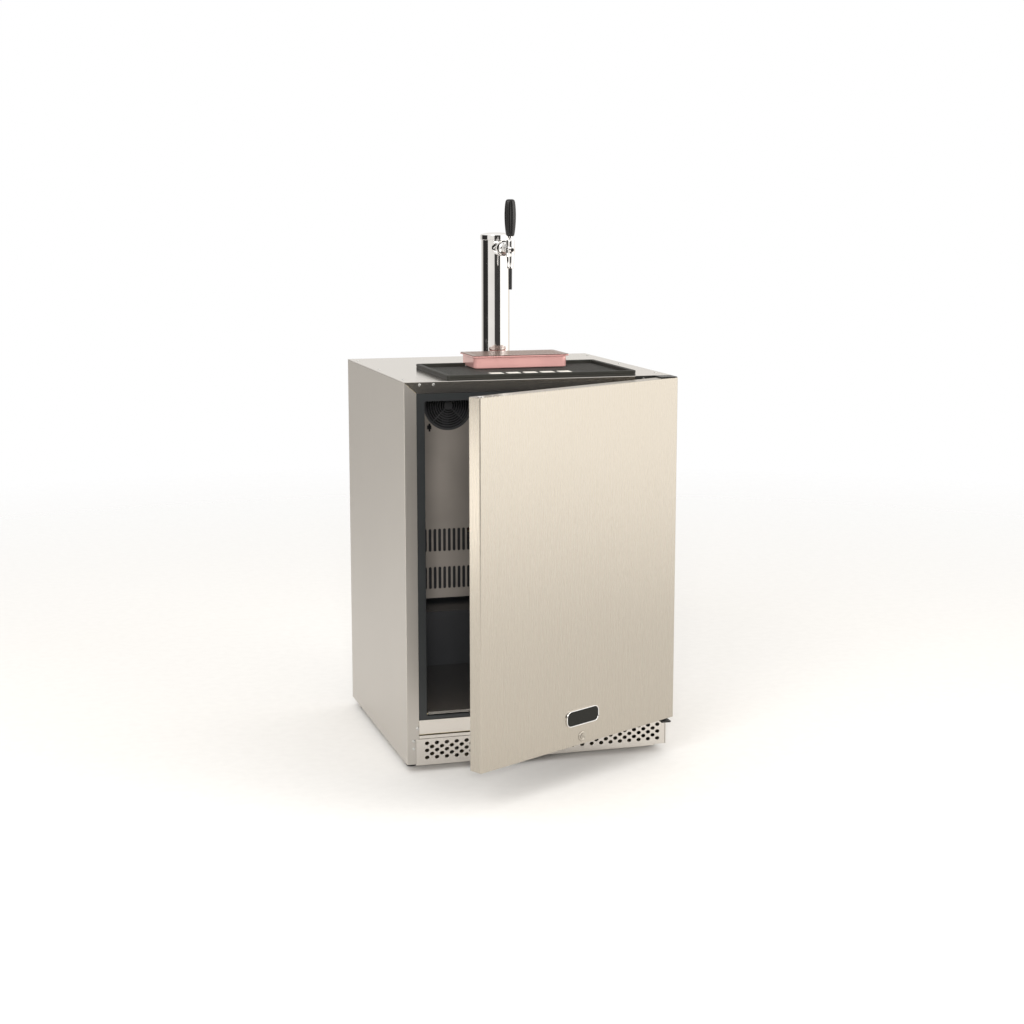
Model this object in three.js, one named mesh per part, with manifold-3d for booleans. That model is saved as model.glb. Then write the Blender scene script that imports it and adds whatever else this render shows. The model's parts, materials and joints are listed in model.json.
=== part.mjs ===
// Undercounter draught beer cabinet with a single-tap tower, its door standing ajar.
// Millimetres, +Z up, the front faces -Y. Parts are laid out from the cabinet's centre on the
// floor, and the whole group is then moved so that its origin is under the middle of its box.
import * as THREE from 'three';
import { mergeVertices } from 'three/addons/utils/BufferGeometryUtils.js';
import Module from 'manifold-3d';

// ---------------------------------------------------------------- driving dimensions
const WIDTH = 600; // over the side panels
const DEPTH = 594; // front frame to rear panel
const HEIGHT = 853; // floor to cabinet top
const SIDE_BOTTOM = 18; // side panels end above the floor
const SHEET = 1.2; // outer steel
const GAP = 0.3; // clearance between touching pieces
const STILE = 27; // front return of the side panels
const TOP_RAIL = 25; // front return of the top panel
const DOOR_GAP = 8.5; // cabinet front to door wrap, closed
const DOOR_THICK = 32.5; // door wrap
const DOOR_BOTTOM = 88;
const DOOR_TOP = 850;
const DOOR_OPEN = 28.7; // degrees ajar at rest
const PIVOT_INSET = 16.5; // hinge axis in from the cabinet side
const PIVOT_BEHIND = 14.5; // hinge axis behind the door's front face
const TOWER = { x: 6, y: 74, radius: 32.5, top: 1139.5 };
const FAUCET = { y: -48, z: 1122 }; // lever axis and shank axis
const LEVER_PIVOT_Z = 1134;
const FAN = { x: -74, z: 743.5 }; // evaporator fan axis
const MAT = { x: 9.5, y: -145, width: 425, depth: 292, height: 11, floor: 3.7, rim: 9 };
const TRAY = { x: 20, y: -32.5, width: 218, depth: 114, bottom: 857.3, top: 885.2, flange: 4 };
const FEET = [
  ['foot_front_left', -278.5, -243],
  ['foot_front_right', 278.5, -243],
  ['foot_rear_left', -278.5, 245],
  ['foot_rear_right', 278.5, 245],
];
const ORIGIN = { x: 1.93, y: -157.68 }; // middle of the whole box, door ajar, from the cabinet centre

// ---------------------------------------------------------------- derived places
const HALF = WIDTH / 2;
const FRONT = -DEPTH / 2;
const BACK = DEPTH / 2;
const DOOR_REAR = FRONT - DOOR_GAP;
const DOOR_FRONT = DOOR_REAR - DOOR_THICK;
const PIVOT = { x: HALF - PIVOT_INSET, y: DOOR_FRONT + PIVOT_BEHIND };
const OPENING = { half: 254.6, bottom: 124.7, top: 811 }; // clear opening in the breaker frame
const FRAME = { half: 272.6, bottom: 116.4, top: 827.6 }; // breaker frame, outside
const LINER = {
  half: 262, wall: 2, front: -283.3, back: 250, floor: 130, top: 812, humpY: 108, humpZ: 262,
};
const COVER = { half: 234, front: 212, sheet: 1.4, bottom: 272.5, top: 808 };
const COMPARTMENT = { front: 150, top: 224.5 }; // machine compartment behind the hump
const LOCK = { x: 0, z: 105 };
// Five staggered rows of punched holes; the plate reaches further to the right than to the left.
const KICK = {
  left: -279.8, right: 297, notch: 272.6, bottom: 15, top: 73.8,
  hole: 4.7, rows: 5, topRow: 63.5, rowPitch: 8, columns: 25, firstColumn: -255.1, pitch: 22.26,
};

// ---------------------------------------------------------------- solid helpers
const wasm = await Module();
wasm.setup();

function solidOf(geometry) {
  geometry.deleteAttribute('normal');
  geometry.deleteAttribute('uv');
  const merged = mergeVertices(geometry, 1e-4);
  const vertProperties = new Float32Array(merged.attributes.position.array);
  const triVerts = new Uint32Array(merged.index.array);
  return new wasm.Manifold(new wasm.Mesh({ numProp: 3, vertProperties, triVerts }));
}

function geometryOf(solid) {
  const mesh = solid.getMesh();
  const geometry = new THREE.BufferGeometry();
  geometry.setAttribute('position', new THREE.BufferAttribute(new Float32Array(mesh.vertProperties), 3));
  geometry.setIndex(new THREE.BufferAttribute(new Uint32Array(mesh.triVerts), 1));
  return geometry;
}

const join = (...solids) => solids.reduce((sum, next) => sum.add(next));
const cut = (solid, ...tools) => tools.reduce((rest, tool) => rest.subtract(tool), solid);

function box([x0, x1], [y0, y1], [z0, z1]) {
  const geometry = new THREE.BoxGeometry(x1 - x0, y1 - y0, z1 - z0);
  geometry.translate((x0 + x1) / 2, (y0 + y1) / 2, (z0 + z1) / 2);
  return solidOf(geometry);
}

// An outline is drawn in (x, y), (x, z) or (y, z) and drawn out along the axis left over.
const BASES = {
  z: { first: [1, 0, 0], second: [0, 1, 0], along: [0, 0, 1] },
  y: { first: [1, 0, 0], second: [0, 0, 1], along: [0, -1, 0] },
  x: { first: [0, 1, 0], second: [0, 0, 1], along: [1, 0, 0] },
};

function outlineOf(points) {
  return new THREE.Shape(points.map(([a, b]) => new THREE.Vector2(a, b)));
}

function prism(outline, axis, from, to, curveSegments = 6) {
  const shape = Array.isArray(outline) ? outlineOf(outline) : outline;
  const options = { depth: to - from, bevelEnabled: false, curveSegments };
  const geometry = new THREE.ExtrudeGeometry(shape, options);
  const basis = BASES[axis];
  const [u, v, w] = [basis.first, basis.second, basis.along].map((d) => new THREE.Vector3(...d));
  geometry.applyMatrix4(new THREE.Matrix4().makeBasis(u, v, w));
  geometry.translate(axis === 'x' ? from : 0, axis === 'y' ? to : 0, axis === 'z' ? from : 0);
  return solidOf(geometry);
}

// Punches every outline through a plate.
const punched = (plate, outlines, axis, from, to) =>
  outlines.reduce((rest, outline) => rest.subtract(prism(outline, axis, from, to)), plate);

const rectangle = (a0, a1, b0, b1) => [[a0, b0], [a1, b0], [a1, b1], [a0, b1]];

function polygon(a, b, radius, sides, turn = 0) {
  const points = [];
  for (let i = 0; i < sides; i += 1) {
    const angle = turn + (2 * Math.PI * i) / sides;
    points.push([a + radius * Math.cos(angle), b + radius * Math.sin(angle)]);
  }
  return points;
}

const rod = (axis, [a, b], from, to, radius, sides = 20, turn = 0) =>
  prism(polygon(a, b, radius, sides, turn), axis, from, to);

function roundedRect(a0, a1, b0, b1, radius) {
  const shape = new THREE.Shape();
  shape.moveTo(a0 + radius, b0);
  shape.lineTo(a1 - radius, b0);
  shape.absarc(a1 - radius, b0 + radius, radius, -Math.PI / 2, 0);
  shape.lineTo(a1, b1 - radius);
  shape.absarc(a1 - radius, b1 - radius, radius, 0, Math.PI / 2);
  shape.lineTo(a0 + radius, b1);
  shape.absarc(a0 + radius, b1 - radius, radius, Math.PI / 2, Math.PI);
  shape.lineTo(a0, b0 + radius);
  shape.absarc(a0 + radius, b0 + radius, radius, Math.PI, 1.5 * Math.PI);
  return shape;
}

// A profile of [radius, height] pairs turned about an upright axis.
function turned(profile, [x, y], sides = 20) {
  const points = profile.map(([r, h]) => new THREE.Vector2(r, h));
  const geometry = new THREE.LatheGeometry(points, sides);
  geometry.rotateX(Math.PI / 2);
  geometry.translate(x, y, 0);
  return solidOf(geometry);
}

function tube(points, radius, steps) {
  const path = new THREE.CatmullRomCurve3(points.map((p) => new THREE.Vector3(...p)), false, 'centripetal');
  const section = outlineOf(polygon(0, 0, radius, 6));
  return solidOf(new THREE.ExtrudeGeometry(section, { extrudePath: path, steps, bevelEnabled: false }));
}

// ---------------------------------------------------------------- finishes and the tree of groups
const finish = (color, roughness, metalness) =>
  new THREE.MeshStandardMaterial({ color, roughness, metalness });
const brushed = () => finish(0xc9c0b2, 0.35, 1);
const chrome = () => finish(0xd8d8d8, 0.08, 1);
const blackPlastic = () => finish(0x202224, 0.5, 0);
const greyPlastic = () => finish(0x7d766e, 0.55, 0);
const foamFinish = () => finish(0xe8dfbd, 0.9, 0);
const galvanised = () => finish(0x9a9c9c, 0.5, 0.9);
const blackSteel = () => finish(0x1c1c1d, 0.45, 0.4);
const rubber = () => finish(0x2b2b29, 0.85, 0);
const copper = () => finish(0xb0704a, 0.35, 1);

const kegerator = new THREE.Group();
const door = new THREE.Group();
kegerator.position.set(-ORIGIN.x, -ORIGIN.y, 0);
door.position.set(PIVOT.x, PIVOT.y, 0);
door.rotation.z = THREE.MathUtils.degToRad(DOOR_OPEN);
kegerator.add(door);

function part(name, solid, material, parent = kegerator) {
  const mesh = new THREE.Mesh(geometryOf(solid), material);
  mesh.name = name;
  if (parent === door) mesh.position.set(-PIVOT.x, -PIVOT.y, 0);
  parent.add(mesh);
}

// ---------------------------------------------------------------- outer case
function sidePanel(side) {
  const outer = side * HALF;
  const across = [outer, side * (HALF - SHEET)].sort((a, b) => a - b);
  const sheet = box(across, [FRONT, BACK - 1.6], [SIDE_BOTTOM, HEIGHT - 1.6]);
  const kickSide = side < 0 ? KICK.left - 0.4 : KICK.right + 0.4;
  const frontReturn = [
    [outer, SIDE_BOTTOM],
    [kickSide, SIDE_BOTTOM],
    [kickSide, KICK.top + 0.2],
    [side * (HALF - STILE), KICK.top + 0.2],
    [side * (HALF - STILE), HEIGHT - TOP_RAIL - 0.5],
    [side * (HALF - 0.9), HEIGHT - 1.6],
    [outer, HEIGHT - 1.6],
  ];
  return join(sheet, prism(frontReturn, 'y', FRONT, FRONT + SHEET));
}

function topPanel() {
  const sheet = box([-HALF, HALF], [FRONT, BACK], [HEIGHT - SHEET, HEIGHT]);
  const low = HEIGHT - TOP_RAIL;
  const mitred = [
    [-HALF + 1.4, HEIGHT - 1], [HALF - 1.4, HEIGHT - 1], [FRAME.half, low], [-FRAME.half, low],
  ];
  const lineHole = rod('z', [TOWER.x, TOWER.y], HEIGHT - 5, HEIGHT + 5, 22);
  return cut(join(sheet, prism(mitred, 'y', FRONT, FRONT + SHEET)), lineHole);
}

function rearPanel() {
  const sheet = box([-HALF + 1.6, HALF - 1.6], [BACK - SHEET, BACK], [226, HEIGHT - 1.6]);
  return cut(sheet, rod('y', [GAS.x, GAS.z], BACK - 5, BACK + 5, GAS.hole));
}

const CATCH = { half: 28, proud: 6.8, bottom: 84.5, top: 92 };

// The rail under the opening carries the catch that the lock's cam turns behind.
function lowerFrontRail() {
  const face = box([-FRAME.half, FRAME.half], [FRONT, FRONT + SHEET], [85.1, 116]);
  const shelf = box([-FRAME.half, FRAME.half], [FRONT, FRONT + 7], [116 - SHEET, 116]);
  const { half, proud, bottom, top } = CATCH;
  const lip = box([-half, half], [FRONT - proud, FRONT - proud + 1.4], [bottom, top]);
  const legs = [-half, half - 2].map((x) => box([x, x + 2], [FRONT - proud, FRONT + 0.5], [bottom, top]));
  return join(face, shelf, lip, ...legs);
}

function basePan() {
  const half = HALF - 1.8;
  const top = 81.5;
  const floor = box([-half, half], [FRONT + 3, BACK - 3], [18.6, 18.6 + SHEET]);
  const walls = [-1, 1].map((side) => {
    const x = side * (half - SHEET / 2);
    return box([x - SHEET / 2, x + SHEET / 2], [FRONT + 3, BACK - 3], [18.6, top]);
  });
  const crossbar = box([-half, half], [FRONT + 3, FRONT + 12], [top - SHEET, top]);
  const strip = box([-FRAME.half, FRAME.half], [FRONT, FRONT + SHEET], [74.6, top]);
  const bridge = box([-FRAME.half, FRAME.half], [FRONT + 0.5, FRONT + 4], [top - SHEET, top]);
  const holes = FEET.map(([, x, y]) => rod('z', [x, y], 15, 25, 5.6, 12));
  return cut(join(floor, ...walls, crossbar, strip, bridge), ...holes);
}

function kickPlate() {
  const plate = prism([
    [KICK.left, KICK.bottom], [KICK.notch, KICK.bottom], [KICK.notch, SIDE_BOTTOM],
    [KICK.right, SIDE_BOTTOM], [KICK.right, KICK.top], [KICK.left, KICK.top],
  ], 'y', FRONT, FRONT + SHEET);
  const holes = [];
  for (let row = 0; row < KICK.rows; row += 1) {
    const shift = row % 2 ? KICK.pitch / 2 : 0;
    const count = row % 2 ? KICK.columns - 1 : KICK.columns;
    for (let column = 0; column < count; column += 1) {
      const x = KICK.firstColumn + column * KICK.pitch + shift;
      const z = KICK.topRow - row * KICK.rowPitch;
      holes.push(polygon(x, z, KICK.hole, 4));
    }
  }
  return punched(plate, holes, 'y', FRONT - 1, FRONT + SHEET + 1);
}

const INLET = { x: 244, z: 66 };

function rearGrille() {
  const plate = box([-284, 284], [BACK - SHEET, BACK], [22, 224]);
  const holes = [rectangle(INLET.x - 18, INLET.x + 18, INLET.z - 15, INLET.z + 15)];
  for (let row = 0; row < 7; row += 1) {
    for (const x of [-255, 15]) {
      const z = 96 + row * 17;
      holes.push(rectangle(x, x + 240, z, z + 8));
    }
  }
  return punched(plate, holes, 'y', BACK - 3, BACK + 1);
}

// ---------------------------------------------------------------- insulation, liner and inner fittings
const GAS = { x: 247, z: 300, hole: 9 };
const RISER = { x: -11, y: 279, z: 434 }; // suction tube behind the liner

// Side outline of the keg compartment with its step over the machine compartment.
function cavity(grow, front) {
  const { floor, humpY, humpZ, back, top, half } = LINER;
  const outline = [
    [front, floor - grow], [humpY + grow, floor - grow], [humpY + grow, humpZ - grow],
    [back + grow, humpZ - grow], [back + grow, top + grow], [front, top + grow],
  ];
  return prism(outline, 'x', -half - grow, half + grow);
}

function linerHoles() {
  return [
    rod('z', [TOWER.x, TOWER.y], LINER.top - 5, HEIGHT + 5, 20),
    rod('y', [GAS.x, GAS.z], LINER.back - 5, BACK + 5, GAS.hole),
    box([RISER.x - 6, RISER.x + 6], [LINER.back - 5, RISER.y], [RISER.z - 8, RISER.z + 8]),
  ];
}

function foamInsulation() {
  const side = HALF - 1.6;
  const rear = BACK - 1.6;
  const outline = [
    [-rear, 84], [COMPARTMENT.front, 84], [COMPARTMENT.front, COMPARTMENT.top],
    [rear, COMPARTMENT.top], [rear, HEIGHT - 1.6], [-rear, HEIGHT - 1.6],
  ];
  const frameRecess = box(
    [-FRAME.half - 0.4, FRAME.half + 0.4],
    [FRONT - 5, LINER.front + GAP],
    [FRAME.bottom - 2, FRAME.top + 0.7],
  );
  const riserChannel = box([RISER.x - 6, RISER.x + 6], [262, BACK], [200, RISER.z + 8]);
  const block = prism(outline, 'x', -side, side);
  return cut(block, cavity(LINER.wall + GAP, FRONT - 5), frameRecess, riserChannel, ...linerHoles());
}

const innerLiner = () =>
  cut(cavity(LINER.wall, LINER.front), cavity(0, LINER.front - 5), ...linerHoles());

function breakerFrame() {
  const shape = roundedRect(-FRAME.half, FRAME.half, FRAME.bottom, FRAME.top, 2);
  shape.holes.push(roundedRect(-OPENING.half, OPENING.half, OPENING.bottom, OPENING.top, 4));
  return prism(shape, 'y', FRONT + 0.6, LINER.front - GAP, 2);
}

function kegFloorPlate() {
  const half = OPENING.half - 3.6;
  const plate = box([-half, half], [-291, 105], [LINER.floor + 0.4, LINER.floor + 2]);
  return join(plate, rod('x', [-291, LINER.floor - 1.8], -half, half, 2.6, 10));
}

// Folded cover in front of the evaporator, with two bands of upright slots.
const SLOTS = { pitch: 12, width: 7, count: 22, first: -132.6, rows: [[295, 349.5], [387.5, 443.5]] };

function evaporatorCover() {
  const { half, front, sheet, bottom, top } = COVER;
  const back = LINER.back - 0.6;
  const holes = [polygon(FAN.x, FAN.z, 55, 24)];
  for (const [z0, z1] of SLOTS.rows) {
    for (let i = 0; i < SLOTS.count; i += 1) {
      const x = SLOTS.first + i * SLOTS.pitch - SLOTS.width / 2;
      holes.push(rectangle(x, x + SLOTS.width, z0, z1));
    }
  }
  const plate = box([-half, half], [front, front + sheet], [bottom, top]);
  const face = punched(plate, holes, 'y', front - 1, front + sheet + 1);
  const left = box([-half, -half + sheet], [front + 0.5, back], [bottom, top]);
  const right = box([half - sheet, half], [front + 0.5, back], [bottom, top]);
  const under = box([-half, half], [front + 0.5, back], [bottom, bottom + sheet]);
  return join(face, left, right, under);
}

function ring(radius, width, y0, y1, segments) {
  const shape = outlineOf(polygon(FAN.x, FAN.z, radius, segments));
  shape.holes.push(outlineOf(polygon(FAN.x, FAN.z, radius - width, segments)));
  return prism(shape, 'y', y0, y1);
}

function fanGuard() {
  const face = COVER.front - GAP;
  const rings = [47, 34, 22].map((radius) => ring(radius, 2.2, face - 4.4, face - 2.4, 16));
  const spokes = [1, -1].map((side) => {
    const reach = 58 * Math.SQRT1_2;
    const half = 1.2;
    return prism([
      [FAN.x - reach - half, FAN.z - side * reach + side * half],
      [FAN.x - reach + half, FAN.z - side * reach - side * half],
      [FAN.x + reach + half, FAN.z + side * reach - side * half],
      [FAN.x + reach - half, FAN.z + side * reach + side * half],
    ], 'y', face - 3.4, face - 1.4);
  });
  const hub = rod('y', [FAN.x, FAN.z], face - 4.4, face - 1.4, 11, 10);
  return join(ring(60, 3, face - 5, face, 24), hub, ...rings, ...spokes);
}

function fanRotor(axis, centre, along, { hub, hubFrom, hubTo, reach, chord, blades, pitch }) {
  const solids = [rod(axis, centre, hubFrom, hubTo, hub, 14)];
  for (let i = 0; i < blades; i += 1) {
    const geometry = new THREE.BoxGeometry(chord, 1.6, reach - hub + 3);
    geometry.rotateZ(THREE.MathUtils.degToRad(pitch));
    geometry.translate(0, 0, (reach + hub - 3) / 2);
    geometry.rotateY((2 * Math.PI * i) / blades);
    if (axis === 'x') geometry.rotateZ(Math.PI / 2);
    if (axis === 'y') geometry.translate(centre[0], along, centre[1]);
    else geometry.translate(along, centre[0], centre[1]);
    solids.push(solidOf(geometry));
  }
  return join(...solids);
}

function evaporatorFanMotor() {
  const can = rod('y', [FAN.x, FAN.z], 227, 248, 21, 18);
  const strap = box([FAN.x - 66, FAN.x + 66], [231, 233], [FAN.z - 5, FAN.z + 5]);
  const feet = [-1, 1].map((side) => {
    const x = FAN.x + side * 65;
    return box([x - 1, x + 1], [COVER.front + COVER.sheet + GAP, 232], [FAN.z - 5, FAN.z + 5]);
  });
  return join(can, strap, ...feet);
}

// A comb: fins spread from a0 to a1 and stand from b0 out of a spine that ends at b1.
function comb([a0, a1], [b0, b1], count, spine) {
  const thick = 1.4;
  const pitch = (a1 - a0 - thick) / (count - 1);
  const root = b1 - spine * Math.sign(b1 - b0);
  const points = [[a0, b1], [a1, b1]];
  for (let i = count - 1; i >= 0; i -= 1) {
    const a = a0 + i * pitch;
    const right = i === count - 1 ? [] : [[a + thick, root]];
    const left = i === 0 ? [] : [[a, root]];
    points.push(...right, [a + thick, b0], [a, b0], ...left);
  }
  return points;
}

const evaporator = () => prism(comb([-6.4, 222], [222, 247], 14, 4), 'z', 430, 790);

function probeClip() {
  const [x, z] = [-121.5, 692];
  const block = box([x - 5, x + 5], [COVER.front - 5, COVER.front - GAP], [z - 4.5, z + 4.5]);
  return join(block, rod('z', [x, COVER.front - 6], z - 9.5, z + 9.5, 2.4, 8));
}

const THERMOSTAT = { x: 187, y: -125 };

function thermostatHousing() {
  const { x, y } = THERMOSTAT;
  return prism(roundedRect(x - 38, x + 38, y - 35, y + 35, 6), 'z', 788, LINER.top - GAP, 3);
}

function thermostatKnob() {
  const { x, y } = THERMOSTAT;
  const grip = box([x - 3, x + 3], [y - 16, y + 16], [768, 776]);
  return join(rod('z', [x, y], 775, 787.7, 17, 20), grip);
}

// ---------------------------------------------------------------- machine compartment
const COMPRESSOR = { x: -165, y: 222 };
const CONDENSER_FAN = { y: 225, z: 112 };

function compressor() {
  const shell = [[0, 23], [50, 23], [62, 34], [64, 60], [64, 128], [57, 158], [36, 174], [0, 178]];
  const plate = box([-236, -94], [166, 278], [20.2, 24]);
  return join(turned(shell, [COMPRESSOR.x, COMPRESSOR.y], 20), plate);
}

function drainPan() {
  const outer = box([-226, -104], [160, 284], [182, 206]);
  return cut(outer, box([-224.5, -105.5], [161.5, 282.5], [184, 210]));
}

// Flat fins one above the other, standing on the base pan.
function condenser() {
  const outline = comb([34, 204], [95, 135], 12, 4).map(([z, x]) => [x, z]);
  return join(prism(outline, 'y', 165, 286), box([131, 135], [165, 286], [20.2, 36]));
}

function condenserFanMotor() {
  const { y, z } = CONDENSER_FAN;
  return join(rod('x', [y, z], 18, 46, 20, 16), box([24, 40], [y - 9, y + 9], [20.2, z]));
}

function suctionTube() {
  const { x, y, z } = RISER;
  return tube([
    [-99, 222, 140], [-80, 226, 140], [-40, 258, 150], [-16, y, 172], [x, y, 200], [x, y, 260],
    [x, y, 340], [x, y, z - 22], [x, y - 4, z - 5], [x, y - 18, z], [x, 258, z], [x, 230, z],
  ], 3.6, 22);
}

const dischargeTube = () =>
  tube([[-99, 205, 60], [-70, 196, 58], [-10, 176, 44], [60, 172, 40], [94, 172, 40]], 3, 14);

function powerInlet() {
  const { x, z } = INLET;
  const body = box([x - 17, x + 17], [272, BACK + GAP], [z - 14, z + 14]);
  const flange = box([x - 22, x + 22], [BACK + GAP, BACK + 2], [z - 18, z + 18]);
  const socket = box([x - 12, x + 12], [280, BACK + 5], [z - 8, z + 8]);
  return cut(join(body, flange), socket);
}

function gasGrommet() {
  const sleeve = rod('y', [GAS.x, GAS.z], LINER.back - 4, BACK + 1, GAS.hole - 0.5, 16);
  const flange = rod('y', [GAS.x, GAS.z], BACK + GAP, BACK + 3, 13, 16);
  const inner = rod('y', [GAS.x, GAS.z], LINER.back - 4, LINER.back - GAP, 12, 16);
  return cut(join(sleeve, flange, inner), rod('y', [GAS.x, GAS.z], LINER.back - 9, BACK + 9, 5, 12));
}

// A levelling foot: a domed pad on a threaded stem.
function foot(x, y) {
  return turned([[0, 0], [9, 0], [12, 3], [13, 7], [12, 12], [5, 15], [5, 46], [0, 46]], [x, y], 14);
}

// ---------------------------------------------------------------- hinges
// A plate that reaches out to the pin, with a tab down or up the cabinet's front.
function hingeBracket([x0, x1], [z0, z1], [tabX0, tabX1], [tab0, tab1]) {
  const plate = box([x0, x1], [DOOR_FRONT + 1, FRONT - GAP], [z0, z1]);
  const tab = box([tabX0, tabX1], [FRONT - 1.4, FRONT - GAP], [tab0, tab1]);
  return cut(join(plate, tab), rod('z', [PIVOT.x, PIVOT.y], z0 - 1, z1 + 1, 4.4, 14));
}

const upperHingeBracket = () => hingeBracket([262, 299.5], [850.6, 852.8], [218, 299.5], [832, 852.8]);
const lowerHingeBracket = () => hingeBracket([274.6, 296], [77.6, 81.6], [274.6, 299], [76, 86]);
const hingePin = (z0, z1) => rod('z', [PIVOT.x, PIVOT.y], z0, z1, 4, 14);
const lowerHingePin = () =>
  join(hingePin(77.8, 113), rod('z', [PIVOT.x, PIVOT.y], 81.9, DOOR_BOTTOM - GAP, 6.5, 14));

// ---------------------------------------------------------------- door, drawn closed
const END_PLUG = { x: -PIVOT.x, y: PIVOT.y };

function doorSkin() {
  const outer = prism(roundedRect(-HALF, HALF, DOOR_FRONT, DOOR_REAR, 3), 'z', DOOR_BOTTOM, DOOR_TOP, 3);
  const hollow = box(
    [-HALF + SHEET, HALF - SHEET],
    [DOOR_FRONT + SHEET, DOOR_REAR - SHEET],
    [DOOR_BOTTOM + SHEET, DOOR_TOP - SHEET],
  );
  const rearOpening = box([-286, 286], [DOOR_REAR - 2, DOOR_REAR + 1], [113.4, 836]);
  const pinHoles = rod('z', [PIVOT.x, PIVOT.y], DOOR_BOTTOM - 5, DOOR_TOP + 5, 5, 14);
  const plugHole = rod('z', [END_PLUG.x, END_PLUG.y], DOOR_TOP - 5, DOOR_TOP + 5, 5, 14);
  const lockHole = rod('y', [LOCK.x, LOCK.z], DOOR_FRONT - 5, DOOR_REAR + 5, 9.4, 18);
  return cut(outer, hollow, rearOpening, pinHoles, plugHole, lockHole);
}

function doorFoam() {
  const block = box(
    [-HALF + 1.6, HALF - 1.6],
    [DOOR_FRONT + 1.6, DOOR_REAR - 1.6],
    [DOOR_BOTTOM + 1.6, DOOR_TOP - 1.6],
  );
  const upperPin = rod('z', [PIVOT.x, PIVOT.y], 818, DOOR_TOP, 6, 12);
  const lowerPin = rod('z', [PIVOT.x, PIVOT.y], DOOR_BOTTOM, 116, 6, 12);
  const plug = rod('z', [END_PLUG.x, END_PLUG.y], 838, DOOR_TOP, 6, 12);
  const lock = rod('y', [LOCK.x, LOCK.z], DOOR_FRONT, DOOR_REAR, 9.6, 18);
  return cut(block, upperPin, lowerPin, plug, lock);
}

// Moulded inner door panel with a raised dyke that enters the cabinet's opening.
function doorLiner() {
  const edge = roundedRect(-285.6, 285.6, 114.6, 835.6, 3);
  const plate = prism(edge, 'y', DOOR_REAR - SHEET, DOOR_REAR + 1.7, 2);
  const dyke = prism(roundedRect(-240, 240, 152, 793, 14), 'y', DOOR_REAR + 1, DOOR_REAR + 16, 3);
  return join(plate, dyke);
}

function doorGasket() {
  const shape = roundedRect(-281, 281, 115, 830, 5);
  shape.holes.push(roundedRect(-263, 263, 133, 812, 4));
  return prism(shape, 'y', DOOR_REAR + 2, FRONT - 0.6, 2);
}

const BADGE = { z: 149, halfWidth: 50, halfHeight: 17.6, corner: 14, rim: 2.6 };

function badgeOutline(inset) {
  const { z, halfWidth, halfHeight, corner } = BADGE;
  const [a, b] = [halfWidth - inset, halfHeight - inset];
  return roundedRect(-a, a, z - b, z + b, corner - inset);
}

function badgeRim() {
  const shape = badgeOutline(0);
  shape.holes.push(badgeOutline(BADGE.rim));
  return prism(shape, 'y', DOOR_FRONT - 3.6, DOOR_FRONT - GAP, 5);
}

function badgeFace() {
  return prism(badgeOutline(BADGE.rim + GAP), 'y', DOOR_FRONT - 2.4, DOOR_FRONT - GAP, 5);
}

function lockBody() {
  const barrel = rod('y', [LOCK.x, LOCK.z], DOOR_FRONT - 1.8, DOOR_REAR + 1.2, 9, 18);
  const bezel = rod('y', [LOCK.x, LOCK.z], DOOR_FRONT - 1.8, DOOR_FRONT - GAP, 11, 22);
  return cut(join(barrel, bezel), rod('y', [LOCK.x, LOCK.z], DOOR_FRONT - 9, DOOR_REAR + 9, 6.3, 16));
}

function lockPlug() {
  const plug = rod('y', [LOCK.x, LOCK.z], DOOR_FRONT - 2.4, DOOR_REAR + 3.9, 6, 16);
  const { x, z } = LOCK;
  return cut(plug, box([x - 0.7, x + 0.7], [DOOR_FRONT - 3, DOOR_FRONT + 8], [z - 3, z + 3]));
}

function lockCam() {
  const { x, z } = LOCK;
  return box([x - 22, x + 6.5], [DOOR_REAR + 4.2, DOOR_REAR + 6.2], [z - 5, z + 5]);
}

function doorEndPlug() {
  const cap = rod('z', [END_PLUG.x, END_PLUG.y], DOOR_TOP + GAP, DOOR_TOP + 1.6, 7, 16);
  return join(cap, rod('z', [END_PLUG.x, END_PLUG.y], 842, DOOR_TOP + 1, 4.6, 12));
}

// ---------------------------------------------------------------- mat, tray and tower
function barMat() {
  const { x, y, width, depth, height, floor, rim } = MAT;
  const base = HEIGHT + GAP;
  const [left, right, near, far] = [x - width / 2, x + width / 2, y - depth / 2, y + depth / 2];
  const slab = prism(roundedRect(left, right, near, far, 7), 'z', base, base + height, 3);
  const well = roundedRect(left + rim, right - rim, near + rim, far - rim, 3);
  const above = [base + floor, base + height + 5];
  const half = TRAY.width / 2 + 2;
  const trayGap = box([TRAY.x - half, TRAY.x + half], [TRAY.y, far + 1], above);
  return cut(slab, prism(well, 'z', ...above, 2), trayGap);
}

function trayOutline(grow, radius) {
  const { x, y, width, depth } = TRAY;
  const [a, b] = [width / 2 + grow, depth / 2 + grow];
  return roundedRect(x - a, x + a, y - b, y + b, radius);
}

function dripTray() {
  const { bottom, top, flange } = TRAY;
  const body = prism(trayOutline(0, 12.5), 'z', bottom, top, 4);
  const lip = prism(trayOutline(flange, 6), 'z', top - 2.4, top, 3);
  return cut(join(body, lip), prism(trayOutline(-1.3, 11.2), 'z', bottom + 1.6, top + 5, 4));
}

function dripGrille() {
  const [low, high] = [TRAY.top + GAP, TRAY.top + 1.8];
  const plate = prism(trayOutline(TRAY.flange - 1, 5), 'z', low, high, 3);
  const holes = [];
  for (let row = -3; row <= 3; row += 1) {
    for (let column = 0; column < 4; column += 1) {
      const [x, y] = [TRAY.x - 94 + column * 48, TRAY.y + row * 14 - 2.5];
      holes.push(rectangle(x, x + 44, y, y + 5));
    }
  }
  return punched(plate, holes, 'z', low - 1, high + 1);
}

function towerFlange() {
  const disc = rod('z', [TOWER.x, TOWER.y], HEIGHT + GAP, HEIGHT + 5, 44, 24);
  return cut(disc, rod('z', [TOWER.x, TOWER.y], HEIGHT, HEIGHT + 9, 20, 20));
}

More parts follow.
